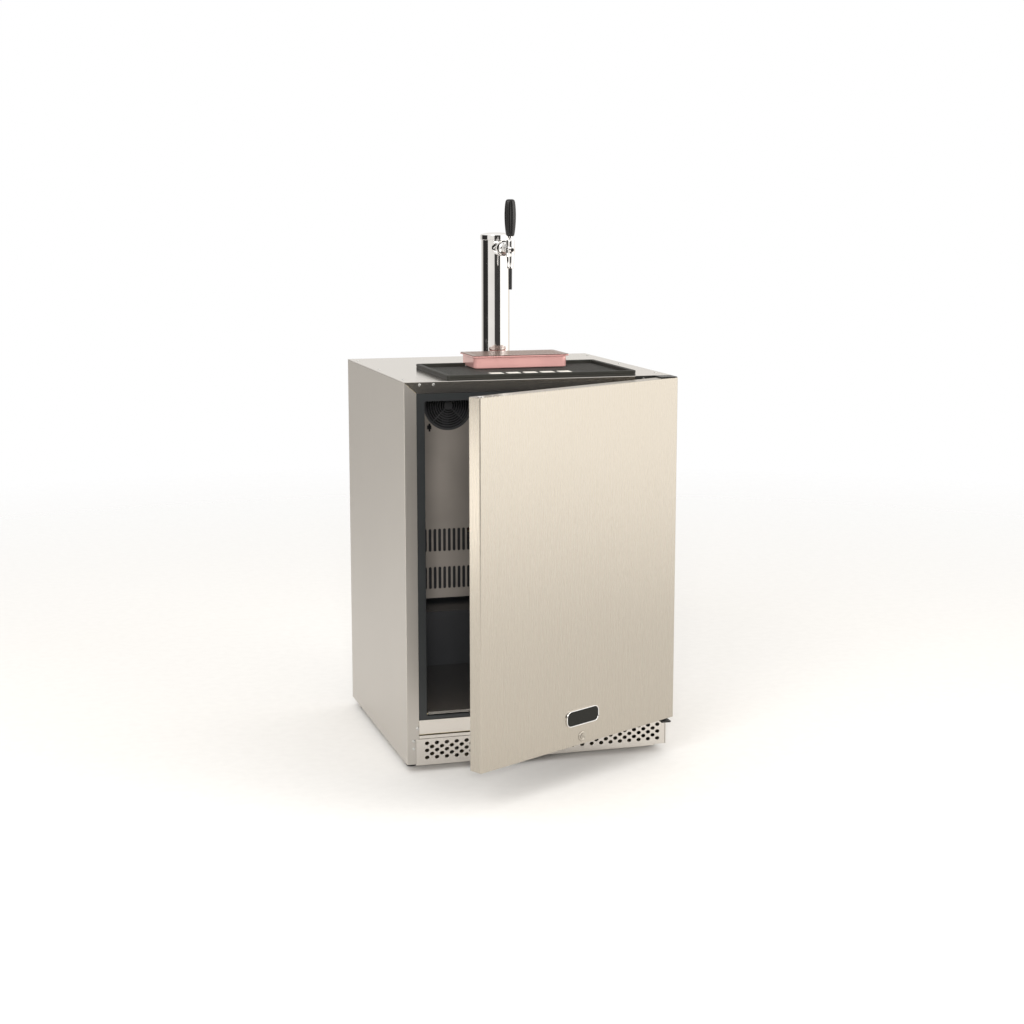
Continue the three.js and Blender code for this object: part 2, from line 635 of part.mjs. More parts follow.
function towerColumn() {
  const centre = [TOWER.x, TOWER.y];
  const wall = rod('z', centre, HEIGHT + 5.3, TOWER.top, TOWER.radius, 32);
  const bore = rod('z', centre, HEIGHT, TOWER.top + 5, TOWER.radius - 1.8, 32);
  return cut(wall, bore, rod('y', [TOWER.x, FAUCET.z], 20, TOWER.y, 11, 16));
}

function towerCap() {
  const r = TOWER.radius;
  const low = TOWER.top + GAP;
  return turned([
    [0, low - 3], [r - 2.2, low - 3], [r - 2.2, low], [r + 2.4, low], [r + 2.4, low + 10],
    [r + 0.6, low + 12], [r - 8, low + 14.6], [r - 20, low + 16], [0, low + 16.4],
  ], [TOWER.x, TOWER.y], 24);
}

// ---------------------------------------------------------------- faucet
const shankCentre = [TOWER.x, FAUCET.z];
const BONNET = { radius: 9.5, low: 1126.3, high: 1142 };

function faucetShank() {
  const collar = rod('y', shankCentre, 32, 50, 17, 24);
  const tower = rod('z', [TOWER.x, TOWER.y], FAUCET.z - 40, FAUCET.z + 40, TOWER.radius + GAP, 32);
  const stem = rod('y', shankCentre, 12.3, 62, 10.4, 16);
  const bore = rod('y', shankCentre, 0, 80, 4.5, 12);
  return cut(join(cut(collar, tower), stem), bore);
}

function couplingNut() {
  const nut = rod('y', shankCentre, 4, 31, 18, 12);
  return cut(nut, rod('y', shankCentre, 0, 12.6, 14.4, 20), rod('y', shankCentre, 10, 40, 10.8, 20));
}

function faucetBody() {
  const { y, z } = FAUCET;
  const x = TOWER.x;
  const bonnetSeat = rod('z', [x, y], z + 4, z + 20, BONNET.radius + 0.5, 20);
  const barrel = cut(rod('y', shankCentre, y, 11.8, 10, 20), bonnetSeat);
  const collar = rod('y', shankCentre, 6, 11.8, 14, 20);
  const chamber = rod('z', [x, y], z - 14, z + 4, 10.4, 20);
  const spout = turned([
    [0, z - 43], [6.8, z - 43], [6.8, z - 39], [6.2, z - 38], [8.2, z - 13], [0, z - 13],
  ], [x, y], 16);
  const nozzle = rod('z', [x, y], z - 91, z - 41, 4, 12);
  const nub = rod('y', [x, z - 2], y - 16, y, 5.6, 12);
  const socket = rod('z', [x, y], z - 8, z + 9, 7.6, 16);
  const channel = rod('y', shankCentre, y, 20, 7, 16);
  const bore = rod('z', [x, y], 1020, z - 5, 2.6, 10);
  return cut(join(barrel, collar, chamber, spout, nozzle, nub), socket, channel, bore);
}

function leverBonnet() {
  const { radius, low, high } = BONNET;
  const nut = turned([
    [0, low], [radius, low], [radius, high - 2.6], [radius - 0.9, high], [0, high],
  ], [TOWER.x, FAUCET.y], 16);
  return cut(nut, rod('z', [TOWER.x, FAUCET.y], low - 5, high + 5, 7.8, 18));
}

function faucetPlunger() {
  const { y, z } = FAUCET;
  const x = TOWER.x;
  const stem = rod('y', shankCentre, y + 2, 0, 3, 12);
  const seal = rod('y', shankCentre, -3, 1, 6.4, 16);
  const eye = box([x - 5, x + 5], [y - 5, y + 5], [z - 3, z + 3]);
  return cut(join(stem, seal, eye), box([x - 3, x + 3], [y - 3, y + 3], [z - 5, z + 5]));
}

function faucetLever() {
  const [x, y, z] = [TOWER.x, FAUCET.y, FAUCET.z];
  const tip = LEVER_PIVOT_Z - 6;
  return turned([
    [0, z - 2.6], [1.8, z - 1.9], [2.6, z], [1.8, z + 1.9], [1.1, z + 2.6], [1.1, tip],
    [5, tip + 1], [7, LEVER_PIVOT_Z], [5, LEVER_PIVOT_Z + 5], [2.8, LEVER_PIVOT_Z + 6.4],
    [2.8, 1146], [5.6, 1146.6], [5.6, 1150], [3.4, 1150], [3.4, 1167], [0, 1168],
  ], [x, y], 16);
}

// Grip that swells in the middle, wider across than it is deep.
const HANDLE = { sides: 16, width: 13.2, depth: 9.6, from: 1150.3, to: 1232 };

function tapHandle() {
  const rows = [
    [0, 0.66], [0.03, 0.74], [0.1, 0.81], [0.25, 0.92], [0.5, 1],
    [0.7, 0.99], [0.85, 0.92], [0.95, 0.8], [0.985, 0.66], [1, 0.45],
  ];
  const positions = [];
  const index = [];
  const length = HANDLE.to - HANDLE.from;
  for (const [t, scale] of rows) {
    for (let i = 0; i < HANDLE.sides; i += 1) {
      const angle = (2 * Math.PI * i) / HANDLE.sides;
      const x = TOWER.x + HANDLE.width * scale * Math.cos(angle);
      const y = FAUCET.y + HANDLE.depth * scale * Math.sin(angle);
      positions.push(x, y, HANDLE.from + t * length);
    }
  }
  for (let row = 0; row < rows.length - 1; row += 1) {
    for (let i = 0; i < HANDLE.sides; i += 1) {
      const [a, b] = [row * HANDLE.sides + i, row * HANDLE.sides + ((i + 1) % HANDLE.sides)];
      index.push(a, b, b + HANDLE.sides, a, b + HANDLE.sides, a + HANDLE.sides);
    }
  }
  const top = (rows.length - 1) * HANDLE.sides;
  for (let i = 1; i < HANDLE.sides - 1; i += 1) {
    index.push(0, i + 1, i, top, top + i, top + i + 1);
  }
  const geometry = new THREE.BufferGeometry();
  geometry.setAttribute('position', new THREE.Float32BufferAttribute(positions, 3));
  geometry.setIndex(index);
  const socket = rod('z', [TOWER.x, FAUCET.y], HANDLE.from - 5, 1170, 3.8, 14);
  return cut(solidOf(geometry), socket);
}

// ---------------------------------------------------------------- assembly
part('left_side_panel', sidePanel(-1), brushed());
part('right_side_panel', sidePanel(1), brushed());
part('top_panel', topPanel(), brushed());
part('rear_panel', rearPanel(), galvanised());
part('lower_front_rail', lowerFrontRail(), brushed());
part('base_pan', basePan(), brushed());
part('kick_plate', kickPlate(), brushed());
part('rear_grille', rearGrille(), galvanised());
part('foam_insulation', foamInsulation(), foamFinish());
part('inner_liner', innerLiner(), blackPlastic());
part('breaker_frame', breakerFrame(), blackPlastic());
part('keg_floor_plate', kegFloorPlate(), brushed());
part('evaporator_cover', evaporatorCover(), greyPlastic());
part('fan_guard', fanGuard(), blackPlastic());
part('evaporator_fan_motor', evaporatorFanMotor(), blackSteel());
part('evaporator_fan_blade', fanRotor('y', [FAN.x, FAN.z], 219.6, {
  hub: 15, hubFrom: 215, hubTo: 225, reach: 50, chord: 20, blades: 5, pitch: 24,
}), blackPlastic());
part('evaporator', evaporator(), galvanised());
part('probe_clip', probeClip(), blackPlastic());
part('thermostat_housing', thermostatHousing(), greyPlastic());
part('thermostat_knob', thermostatKnob(), blackPlastic());
part('compressor', compressor(), blackSteel());
part('drain_pan', drainPan(), blackPlastic());
part('condenser', condenser(), blackSteel());
part('condenser_fan_motor', condenserFanMotor(), blackSteel());
part('condenser_fan_blade', fanRotor('x', [CONDENSER_FAN.y, CONDENSER_FAN.z], 56, {
  hub: 17, hubFrom: 50, hubTo: 62, reach: 62, chord: 30, blades: 4, pitch: 24,
}), galvanised());
part('suction_tube', suctionTube(), copper());
part('discharge_tube', dischargeTube(), copper());
part('power_inlet', powerInlet(), blackPlastic());
part('gas_grommet', gasGrommet(), rubber());
FEET.forEach(([name, x, y]) => part(name, foot(x, y), blackPlastic()));
part('upper_hinge_bracket', upperHingeBracket(), blackSteel());
part('upper_hinge_pin', hingePin(821, 852.6), chrome());
part('lower_hinge_bracket', lowerHingeBracket(), blackSteel());
part('lower_hinge_pin', lowerHingePin(), chrome());

part('door_skin', doorSkin(), brushed(), door);
part('door_foam', doorFoam(), foamFinish(), door);
part('door_liner', doorLiner(), blackPlastic(), door);
part('door_gasket', doorGasket(), rubber(), door);
part('badge_rim', badgeRim(), chrome(), door);
part('badge_face', badgeFace(), blackPlastic(), door);
part('lock_body', lockBody(), chrome(), door);
part('lock_plug', lockPlug(), chrome(), door);
part('lock_cam', lockCam(), galvanised(), door);
part('door_end_plug', doorEndPlug(), chrome(), door);

part('bar_mat', barMat(), rubber());
part('drip_tray', dripTray(), finish(0xc96a62, 0.3, 0.8));
part('drip_grille', dripGrille(), brushed());
part('tower_flange', towerFlange(), chrome());
part('tower_column', towerColumn(), chrome());
part('tower_cap', towerCap(), chrome());
part('faucet_shank', faucetShank(), chrome());
part('coupling_nut', couplingNut(), chrome());
part('faucet_body', faucetBody(), chrome());
part('lever_bonnet', leverBonnet(), chrome());
part('faucet_plunger', faucetPlunger(), finish(0xb08d4a, 0.3, 1));
part('faucet_lever', faucetLever(), chrome());
part('tap_handle', tapHandle(), finish(0x141414, 0.25, 0));

export default kegerator;
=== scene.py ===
"""The kegerator's looks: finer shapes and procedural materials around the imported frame.

Shapes are gathered in millimetres in the row frame and become meshes in metres. The door's pieces are
shaped with the door shut and then swung to where it rests.
"""
import json
import math
from collections import namedtuple

import bmesh
import bpy
from mathutils import Matrix, Vector
from mathutils.geometry import tessellate_polygon


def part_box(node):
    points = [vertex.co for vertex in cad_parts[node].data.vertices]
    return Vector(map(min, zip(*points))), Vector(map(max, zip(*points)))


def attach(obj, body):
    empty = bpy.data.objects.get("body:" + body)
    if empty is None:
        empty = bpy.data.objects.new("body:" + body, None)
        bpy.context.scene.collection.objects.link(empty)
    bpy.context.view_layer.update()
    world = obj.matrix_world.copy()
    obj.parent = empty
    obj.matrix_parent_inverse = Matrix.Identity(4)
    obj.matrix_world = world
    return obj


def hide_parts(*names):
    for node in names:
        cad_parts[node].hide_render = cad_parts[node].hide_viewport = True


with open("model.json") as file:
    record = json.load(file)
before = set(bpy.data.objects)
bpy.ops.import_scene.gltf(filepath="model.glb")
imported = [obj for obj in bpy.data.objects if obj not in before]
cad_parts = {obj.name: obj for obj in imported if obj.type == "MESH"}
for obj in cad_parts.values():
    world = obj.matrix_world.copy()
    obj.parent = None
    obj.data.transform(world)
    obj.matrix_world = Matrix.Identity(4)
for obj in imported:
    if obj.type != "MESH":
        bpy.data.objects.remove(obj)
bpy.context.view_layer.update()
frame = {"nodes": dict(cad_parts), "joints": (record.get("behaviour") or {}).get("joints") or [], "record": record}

MM = 0.001
SHEET = 1.2  # thickness of the outer steel
record = frame["record"]
SLOT_OF = {s["node"]: s["material_slot"] for s in record["subparts"]}
BODY_OF = {n: body for body, nodes in record["behaviour"]["bodies"].items() for n in nodes}
JOINTS = {j["name"]: j for j in frame["joints"]}

Box = namedtuple("Box", "x0 x1 y0 y1 z0 z1")

HINGE = Vector(JOINTS["door_hinge"]["pos_m"])
AJAR = math.radians(-JOINTS["door_hinge"]["range_deg"][0])
SWING = Matrix.Translation(HINGE) @ Matrix.Rotation(AJAR, 4, "Z") @ Matrix.Translation(-HINGE)


def box(node):
    """A node's box in millimetres."""
    low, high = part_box(node)
    return Box(low.x / MM, high.x / MM, low.y / MM, high.y / MM, low.z / MM, high.z / MM)


def shut_box(node):
    """A door node's box in millimetres, with the door shut."""
    back = SWING.inverted()
    points = [(back @ v.co) / MM for v in frame["nodes"][node].data.vertices]
    spans = [(min(p[i] for p in points), max(p[i] for p in points)) for i in range(3)]
    return Box(*spans[0], *spans[1], *spans[2])


def middle(low, high):
    return (low + high) / 2


# ---------------------------------------------------------------- outlines


def flat(u, v, w):
    """u, v, w are x, y, z: the outline lies in the floor's plane."""
    return (u, v, w)


def face(u, v, w):
    """u, v, w are x, z, y: the outline faces the front or the back."""
    return (u, w, v)


def side(u, v, w):
    """u, v, w are y, z, x: the outline faces left or right."""
    return (w, u, v)


def spans_in(b, view):
    """A box's low and high along the two directions of a view's outline."""
    return {
        flat: (b.x0, b.x1, b.y0, b.y1),
        face: (b.x0, b.x1, b.z0, b.z1),
        side: (b.y0, b.y1, b.z0, b.z1),
    }[view]


def centre(b, view):
    u0, u1, v0, v1 = spans_in(b, view)
    return middle(u0, u1), middle(v0, v1)


def halves(b, view):
    u0, u1, v0, v1 = spans_in(b, view)
    return (u1 - u0) / 2, (v1 - v0) / 2


def circle(cu, cv, radius, count=48, turn=0.0):
    step = 2 * math.pi / count
    return [(
        cu + radius * math.cos(turn + i * step), cv + radius * math.sin(turn + i * step)
    ) for i in range(count)]


def ellipse(cu, cv, ru, rv, count=16):
    return [(cu + (u * ru), cv + (v * rv)) for u, v in circle(0, 0, 1, count)]


def rounded(cu, cv, hu, hv, radius, steps=6):
    """A rectangle of half sizes hu and hv with round corners."""
    radius = max(min(radius, hu, hv), 0.02)
    points = []
    for quarter, (su, sv) in enumerate(((1, 1), (-1, 1), (-1, -1), (1, -1))):
        for i in range(steps + 1):
            angle = (quarter + i / steps) * math.pi / 2
            points.append((
                cu + su * (hu - radius) + radius * math.cos(angle),
                cv + sv * (hv - radius) + radius * math.sin(angle),
            ))
    return points


def softened(low, high, edge, steps=3):
    """(inset, height) pairs of a solid whose two rims are rounded by edge."""
    turns = [math.pi / 2 * i / steps for i in range(steps + 1)]
    start = [(edge * (1 - math.sin(a)), low + edge * (1 - math.cos(a))) for a in turns]
    end = [(edge * (1 - math.cos(a)), high - edge * (1 - math.sin(a))) for a in turns]
    return start + end


# ---------------------------------------------------------------- shapes


class Shape:
    """Points in millimetres and faces, gathered before they become one mesh."""

    def __init__(self):
        self.points = []
        self.faces = []

    def skin(self, loops, caps=(True, True), closed=False):
        """Joins loops of points, each with the same count, by quads."""
        first = len(self.points)
        count = len(loops[0])
        for loop in loops:
            self.points += loop
        spans = len(loops) if closed else len(loops) - 1
        for k in range(spans):
            low = first + k * count
            high = first + ((k + 1) % len(loops)) * count
            for i in range(count):
                j = (i + 1) % count
                self.faces.append((low + i, low + j, high + j, high + i))
        if not closed:
            last = first + (len(loops) - 1) * count
            if caps[0]:
                self.faces.append(tuple(range(first, first + count)))
            if caps[1]:
                self.faces.append(tuple(range(last, last + count)))
        return self

    def loft(self, rings, view=flat, caps=(True, True), closed=False):
        """Joins (outline, height) rings."""
        return self.skin(
            [[view(u, v, height) for u, v in outline] for outline, height in rings], caps, closed
        )

    def solid(self, outline, low, high, edge, view=flat, steps=3):
        """outline(inset) between two heights, with rounded rims."""
        return self.loft(
            [(outline(inset), height) for inset, height in softened(low, high, edge, steps)], view
        )

    def block(self, b, edge=0.5, radius=None, view=flat):
        """A box with rounded rims, and corners rounded by radius."""
        w0, w1 = {flat: (b.z0, b.z1), face: (b.y0, b.y1), side: (b.x0, b.x1)}[view]
        corner = edge if radius is None else radius
        hu, hv = halves(b, view)

        def outline(inset):
            return rounded(*centre(b, view), hu - inset, hv - inset, corner - inset)

        return self.solid(outline, w0, w1, edge, view)

    def turned(self, profile, cu, cv, view=flat, count=48):
        """A closed (radius, height) profile turned about an axis."""
        rings = [(circle(cu, cv, max(radius, 0.01), count), height) for radius, height in profile]
        return self.loft(rings, view)

    def punched(self, outline, holes, low, high, edge, view=flat):
        """A plate through which holes go. outline and holes give their points for an inset."""
        loops = [outline(edge)] + [hole(-edge) for hole in holes]
        cells = tessellate_polygon([[Vector((u, v, 0)) for u, v in loop] for loop in loops])
        flat_points = [p for loop in loops for p in loop]
        for height in (low, high):
            first = len(self.points)
            self.points += [view(u, v, height) for u, v in flat_points]
            self.faces += [tuple(first + i for i in cell) for cell in cells]
        for sign, edge_of in [(1, outline)] + [(-1, hole) for hole in holes]:
            rings = [
                (edge_of(sign * edge), low), (edge_of(0), low + edge), (edge_of(0), high - edge),
                (edge_of(sign * edge), high),
            ]
            self.loft(rings, view, caps=(False, False))
        return self

    def tube(self, path, radius, count=12, cap=True):
        """A round bar along points, each a Vector."""
        loops = []
        upright = Vector((0.31, 0.17, 0.93))
        for i, point in enumerate(path):
            along = (path[min(i + 1, len(path) - 1)] - path[max(i - 1, 0)]).normalized()
            first = along.cross(upright).normalized()
            second = along.cross(first)
            loops.append([
                tuple(point + first * u + second * v) for u, v in circle(0, 0, radius, count)
            ])
        return self.skin(loops, caps=(cap, cap))

    def screw(self, u, v, w, out, view, radius=3.2):
        """A button-head screw with a hexagon socket, standing out along w."""
        def socket(size):
            points = []
            for i in range(24):
                angle = 2 * math.pi * i / 24
                reach = size / math.cos((angle % (math.pi / 3)) - math.pi / 6)
                points.append((u + reach * math.cos(angle), v + reach * math.sin(angle)))
            return points

        profile = [(1.0, 0.0), (1.0, 0.12), (0.92, 0.3), (0.75, 0.45), (0.56, 0.52)]
        rings = [(circle(u, v, radius * r, 24), w + out * radius * h) for r, h in profile]
        rings += [
            (socket(radius * 0.38), w + out * radius * 0.52),
            (socket(radius * 0.36), w + out * radius * 0.15),
        ]
        return self.loft(rings, view)


def finish(obj, material, body, nodes=(), slot=None, shut=False):
    """Gives a piece its material, its body and the nodes it stands for."""
    obj.data.materials.clear()
    obj.data.materials.append(material)
    obj.data.shade_smooth()
    obj.data.set_sharp_from_angle(angle=math.radians(38))
    weighted = obj.modifiers.new("weighted normals", "WEIGHTED_NORMAL")
    weighted.keep_sharp = True
    if shut:
        obj.matrix_world = SWING
    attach(obj, body)
    if nodes:
        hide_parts(*nodes)
    slot or SLOT_OF[nodes[0]]
    return obj


def new_object(name, bm):
    bmesh.ops.recalc_face_normals(bm, faces=bm.faces)
    mesh = bpy.data.meshes.new(name)
    bm.to_mesh(mesh)
    bm.free()
    obj = bpy.data.objects.new(name, mesh)
    bpy.context.scene.collection.objects.link(obj)
    return obj


def plain_mesh(name, shape):
    """A Shape's points and faces as a mesh, in metres."""
    mesh = bpy.data.meshes.new(name)
    mesh.from_pydata([(x * MM, y * MM, z * MM) for x, y, z in shape.points], [], shape.faces)
    return mesh


def piece(name, shape, material, body, nodes=(), slot=None, shut=False):
    """Makes a Shape into a finished piece that rides on a body."""
    mesh = plain_mesh(name, shape)
    bm = bmesh.new()
    bm.from_mesh(mesh)
    bpy.data.meshes.remove(mesh)
    bmesh.ops.remove_doubles(bm, verts=bm.verts, dist=0.002 * MM)
    return finish(new_object(name, bm), material, body, nodes, slot, shut)


def eased(node, name, material, edge, segments=2):
    """A copy of a node with its edges rounded, in the node's place."""
    bm = bmesh.new()
    bm.from_mesh(frame["nodes"][node].data)
    bmesh.ops.remove_doubles(bm, verts=bm.verts, dist=0.002 * MM)
    bmesh.ops.dissolve_limit(bm, angle_limit=math.radians(1), verts=bm.verts, edges=bm.edges)
    sharp = [e for e in bm.edges if len(e.link_faces) == 2 and e.calc_face_angle() > math.radians(32)]
    bmesh.ops.bevel(
        bm, geom=sharp, offset=edge * MM, segments=segments, profile=0.5, affect="EDGES", clamp_overlap=True
    )
    return finish(new_object(name, bm), material, BODY_OF[node], [node])


# ---------------------------------------------------------------- materials


class Finish:
    """A material built around one Principled shader."""

    def __init__(self, name, **sockets):
        self.material = bpy.data.materials.new(name)
        self.material.use_nodes = True
        self.nodes = self.material.node_tree.nodes
        self.links = self.material.node_tree.links
        self.shader = self.nodes["Principled BSDF"]
        for key, value in sockets.items():
            self.shader.inputs[key.replace("_", " ").title()].default_value = value

    def node(self, kind, **settings):
        made = self.nodes.new(kind)
        for key, value in settings.items():
            setattr(made, key, value)
        return made

    def place(self, stretch=(1, 1, 1)):
        """Object coordinates in metres, times stretch."""
        coordinates = self.node("ShaderNodeTexCoord")
        mapping = self.node("ShaderNodeMapping")
        mapping.inputs["Scale"].default_value = stretch
        self.links.new(coordinates.outputs["Object"], mapping.inputs["Vector"])
        return mapping.outputs["Vector"]

    def noise(self, scale, detail=2.0, stretch=(1, 1, 1), roughness=0.5):
        texture = self.node("ShaderNodeTexNoise")
        texture.inputs["Scale"].default_value = scale
        texture.inputs["Detail"].default_value = detail
        texture.inputs["Roughness"].default_value = roughness
        self.links.new(self.place(stretch), texture.inputs["Vector"])
        return texture.outputs["Fac"]

    def cells(self, scale, stretch=(1, 1, 1)):
        texture = self.node("ShaderNodeTexVoronoi")
        texture.inputs["Scale"].default_value = scale
        self.links.new(self.place(stretch), texture.inputs["Vector"])
        return texture.outputs["Color"]

    def ramp(self, source, stops):
        """Colours or greys at places from 0 to 1."""
        made = self.node("ShaderNodeValToRGB")
        elements = made.color_ramp.elements
        while len(elements) < len(stops):
            elements.new(0.5)
        for element, (place, value) in zip(elements, stops):
            element.position = place
            element.color = (*value, 1) if isinstance(value, tuple) else (value, value, value, 1)
        self.links.new(source, made.inputs["Fac"])
        return made.outputs["Color"]

    def mix(self, factor, first, second, blend="MIX"):
        made = self.node("ShaderNodeMix", data_type="RGBA", blend_type=blend)
        for socket, value in ((made.inputs[0], factor), (made.inputs[6], first), (made.inputs[7], second)):
            if isinstance(value, bpy.types.NodeSocket):
                self.links.new(value, socket)
            else:
                socket.default_value = value
        return made.outputs[2]

    def colour(self, source):
        self.links.new(source, self.shader.inputs["Base Color"])
        return self

    def rough(self, source):
        self.links.new(source, self.shader.inputs["Roughness"])
        return self

    def bump(self, height, strength, depth):
        """depth in millimetres. Each call adds to the bumps before it."""
        made = self.node("ShaderNodeBump")
        made.inputs["Strength"].default_value = strength
        made.inputs["Distance"].default_value = depth * MM
        self.links.new(height, made.inputs["Height"])
        normal = self.shader.inputs["Normal"]
        if normal.is_linked:
            self.links.new(normal.links[0].from_socket, made.inputs["Normal"])
        self.links.new(made.outputs["Normal"], normal)
        return self


def tone(colour, factor):
    return tuple(min(1.0, channel * factor) for channel in colour)


def brushed(name, colour, roughness, grain):
    """Brushed stainless. grain is the axis along which the brush went: 0, 1 or 2."""
    made = Finish(name, metallic=1.0)
    fine = [1.0, 1.0, 1.0]
    fine[grain] = 0.012
    streaks = made.noise(1400, 3, fine)
    bands = made.noise(260, 2, fine)
    cloud = made.noise(2.4, 2)
    base = made.ramp(bands, [(0.3, tone(colour, 0.995)), (0.7, tone(colour, 1.005))])
    shade = made.ramp(cloud, [(0.3, 0.98), (0.7, 1.0)])
    made.colour(made.mix(1.0, base, shade, "MULTIPLY"))
    made.rough(made.ramp(streaks, [(0.25, roughness * 0.96), (0.75, roughness * 1.04)]))
    made.bump(streaks, 0.06, 0.02)
    return made.material


def chrome(name, colour=(0.86, 0.85, 0.84)):
    made = Finish(name, metallic=1.0)
    smear = made.noise(38, 4)
    made.colour(made.ramp(smear, [(0.3, tone(colour, 0.95)), (0.7, colour)]))
    made.rough(made.ramp(smear, [(0.35, 0.035), (0.75, 0.095)]))
    return made.material


def moulded(name, colour, roughness, grain=900, depth=0.05, shine=0.5):
    """Moulded plastic with a fine matt grain."""
    made = Finish(name)
    made.shader.inputs["Specular IOR Level"].default_value = shine
    cloud = made.noise(9, 3)
    fine = made.noise(grain, 2)
    made.colour(made.ramp(cloud, [(0.3, tone(colour, 0.9)), (0.7, tone(colour, 1.08))]))
    made.rough(made.ramp(fine, [(0.3, roughness * 0.88), (0.7, min(1.0, roughness * 1.12))]))
    made.bump(fine, 0.25, depth)
    return made.material


def rubber(name, colour, roughness=0.72):
    made = Finish(name)
    dust = made.noise(26, 4)
    grain = made.noise(1300, 3)
    made.colour(made.ramp(dust, [(0.35, colour), (0.75, tone(colour, 1.35))]))
    made.rough(made.ramp(dust, [(0.3, roughness), (0.8, min(1.0, roughness * 1.15))]))
    made.bump(grain, 0.4, 0.08)
    return made.material


def galvanised(name):
    made = Finish(name, metallic=1.0)
    spangle = made.cells(110)
    made.colour(made.ramp(spangle, [(0.1, (0.50, 0.52, 0.53)), (0.9, (0.68, 0.69, 0.70))]))
    made.rough(made.ramp(spangle, [(0.1, 0.34), (0.9, 0.5)]))
    made.bump(made.noise(600, 2), 0.1, 0.04)
    return made.material


def enamel(name, colour, roughness=0.32):
    made = Finish(name, coat_weight=0.3)
    peel = made.noise(420, 2)
    made.colour(made.ramp(made.noise(14, 3), [(0.3, colour), (0.7, tone(colour, 1.3))]))
    made.rough(made.ramp(peel, [(0.3, roughness * 0.85), (0.7, roughness * 1.15)]))
    made.bump(peel, 0.2, 0.05)
    return made.material


def drawn(name, colour, roughness):
    """Drawn or turned metal."""
    made = Finish(name, metallic=1.0)
    stain = made.noise(60, 4)
    made.colour(made.ramp(stain, [(0.3, tone(colour, 0.82)), (0.7, colour)]))
    made.rough(made.ramp(made.noise(500, 2), [(0.3, roughness * 0.8), (0.7, roughness * 1.2)]))
    return made.material


def lacquered(name, colour, roughness):
    """Metal under a coloured lacquer."""
    made = Finish(name, metallic=0.38)
    made.shader.inputs["Coat Weight"].default_value = 0.5
    made.shader.inputs["Coat Roughness"].default_value = 0.08
    cloud = made.noise(16, 3)
    made.colour(made.ramp(cloud, [(0.3, tone(colour, 0.97)), (0.7, tone(colour, 1.02))]))
    made.rough(made.ramp(cloud, [(0.3, roughness * 0.9), (0.7, roughness * 1.1)]))
    return made.material


def foam(name):
    made = Finish(name)
    bubbles = made.noise(380, 4)
    made.colour(made.ramp(bubbles, [(0.3, (0.62, 0.53, 0.33)), (0.7, (0.80, 0.72, 0.50))]))
    made.rough(made.ramp(bubbles, [(0.3, 0.85), (0.7, 0.98)]))
    made.bump(bubbles, 0.5, 0.4)
    return made.material


STEEL = (0.67, 0.635, 0.59)
M = {
    # painted shade: the door's stainless has a much darker tone than the plain STEEL, standing in for the door's
    # dimmer light
    "door_steel_shaded": brushed("brushed_steel_door_shaded", (0.475, 0.435, 0.375), 0.27, 2),
    # painted shade: the sides' stainless is darker than the plain STEEL, standing in for their dimmer light
    "side_steel_shaded": brushed("brushed_steel_side_shaded", (0.58, 0.55, 0.51), 0.44, 2),
    "top_steel": brushed("brushed_steel_top", (0.64, 0.61, 0.57), 0.19, 0),
    "rail_steel": brushed("brushed_steel_rail", STEEL, 0.26, 0),
    "grille_steel": brushed("brushed_steel_grille", (0.33, 0.235, 0.20), 0.3, 0),
    "galvanised": galvanised("galvanised_sheet"),
    "black_steel": enamel("black_enamel", (0.018, 0.018, 0.019)),
    "black_plastic": moulded("black_plastic", (0.018, 0.020, 0.021), 0.42),
    "liner_plastic": moulded("liner_plastic", (0.044, 0.046, 0.050), 0.36),
    "cover_plastic": moulded("cover_grey", (0.40, 0.365, 0.33), 0.45),
    "white_plastic": moulded("white_plastic", (0.66, 0.66, 0.64), 0.45),
    "fan_plastic": moulded("fan_plastic", (0.012, 0.012, 0.013), 0.35),
    "guard_plastic": moulded("guard_plastic", (0.095, 0.096, 0.100), 0.38),
    "gasket": rubber("gasket_rubber", (0.10, 0.10, 0.098), 0.6),
    "mat": rubber("mat_rubber", (0.018, 0.0175, 0.014), 0.5),
    "mat_mark": rubber("mat_marks", (0.74, 0.72, 0.66), 0.6),
    "foot": rubber("foot_rubber", (0.014, 0.014, 0.014), 0.5),
    "chrome": chrome("polished_chrome"),
    "fins": drawn("aluminium_fins", (0.78, 0.79, 0.80), 0.36),
    "copper": drawn("copper_tube", (0.72, 0.38, 0.24), 0.3),
    "brass": drawn("turned_brass", (0.78, 0.58, 0.26), 0.24),
    "satin": drawn("satin_chrome", (0.52, 0.48, 0.42), 0.24),
    "zinc": drawn("zinc_plate", (0.70, 0.70, 0.68), 0.3),
    "rose": lacquered("rose_lacquer", (0.94, 0.52, 0.49), 0.2),
    "badge": moulded("badge_black", (0.008, 0.008, 0.006), 0.3, 900, 0.003, 0.2),
    "handle": moulded("handle_black", (0.010, 0.010, 0.010), 0.2, 900, 0.003, 0.4),
    # painted shade: near black and matt, so the hinge plates and pins read as the shadow in the gap by the hinge
    "hinge_shadow_black": enamel("hinge_shadow_black", (0.010, 0.010, 0.009), 0.75),
    "foam": foam("insulating_foam"),
}


# ---------------------------------------------------------------- cabinet

top = box("top_panel")
kick = box("kick_plate")
breaker = box("breaker_frame")
CORNER = 1.6  # bend radius of the outer sheets


def bend(cu, cv, start, end, radius=CORNER, steps=4):
    """Points of an arc between two angles in degrees."""
    angles = [math.radians(start + (end - start) * i / steps) for i in range(steps + 1)]
    return [(cu + radius * math.cos(a), cv + radius * math.sin(a)) for a in angles]


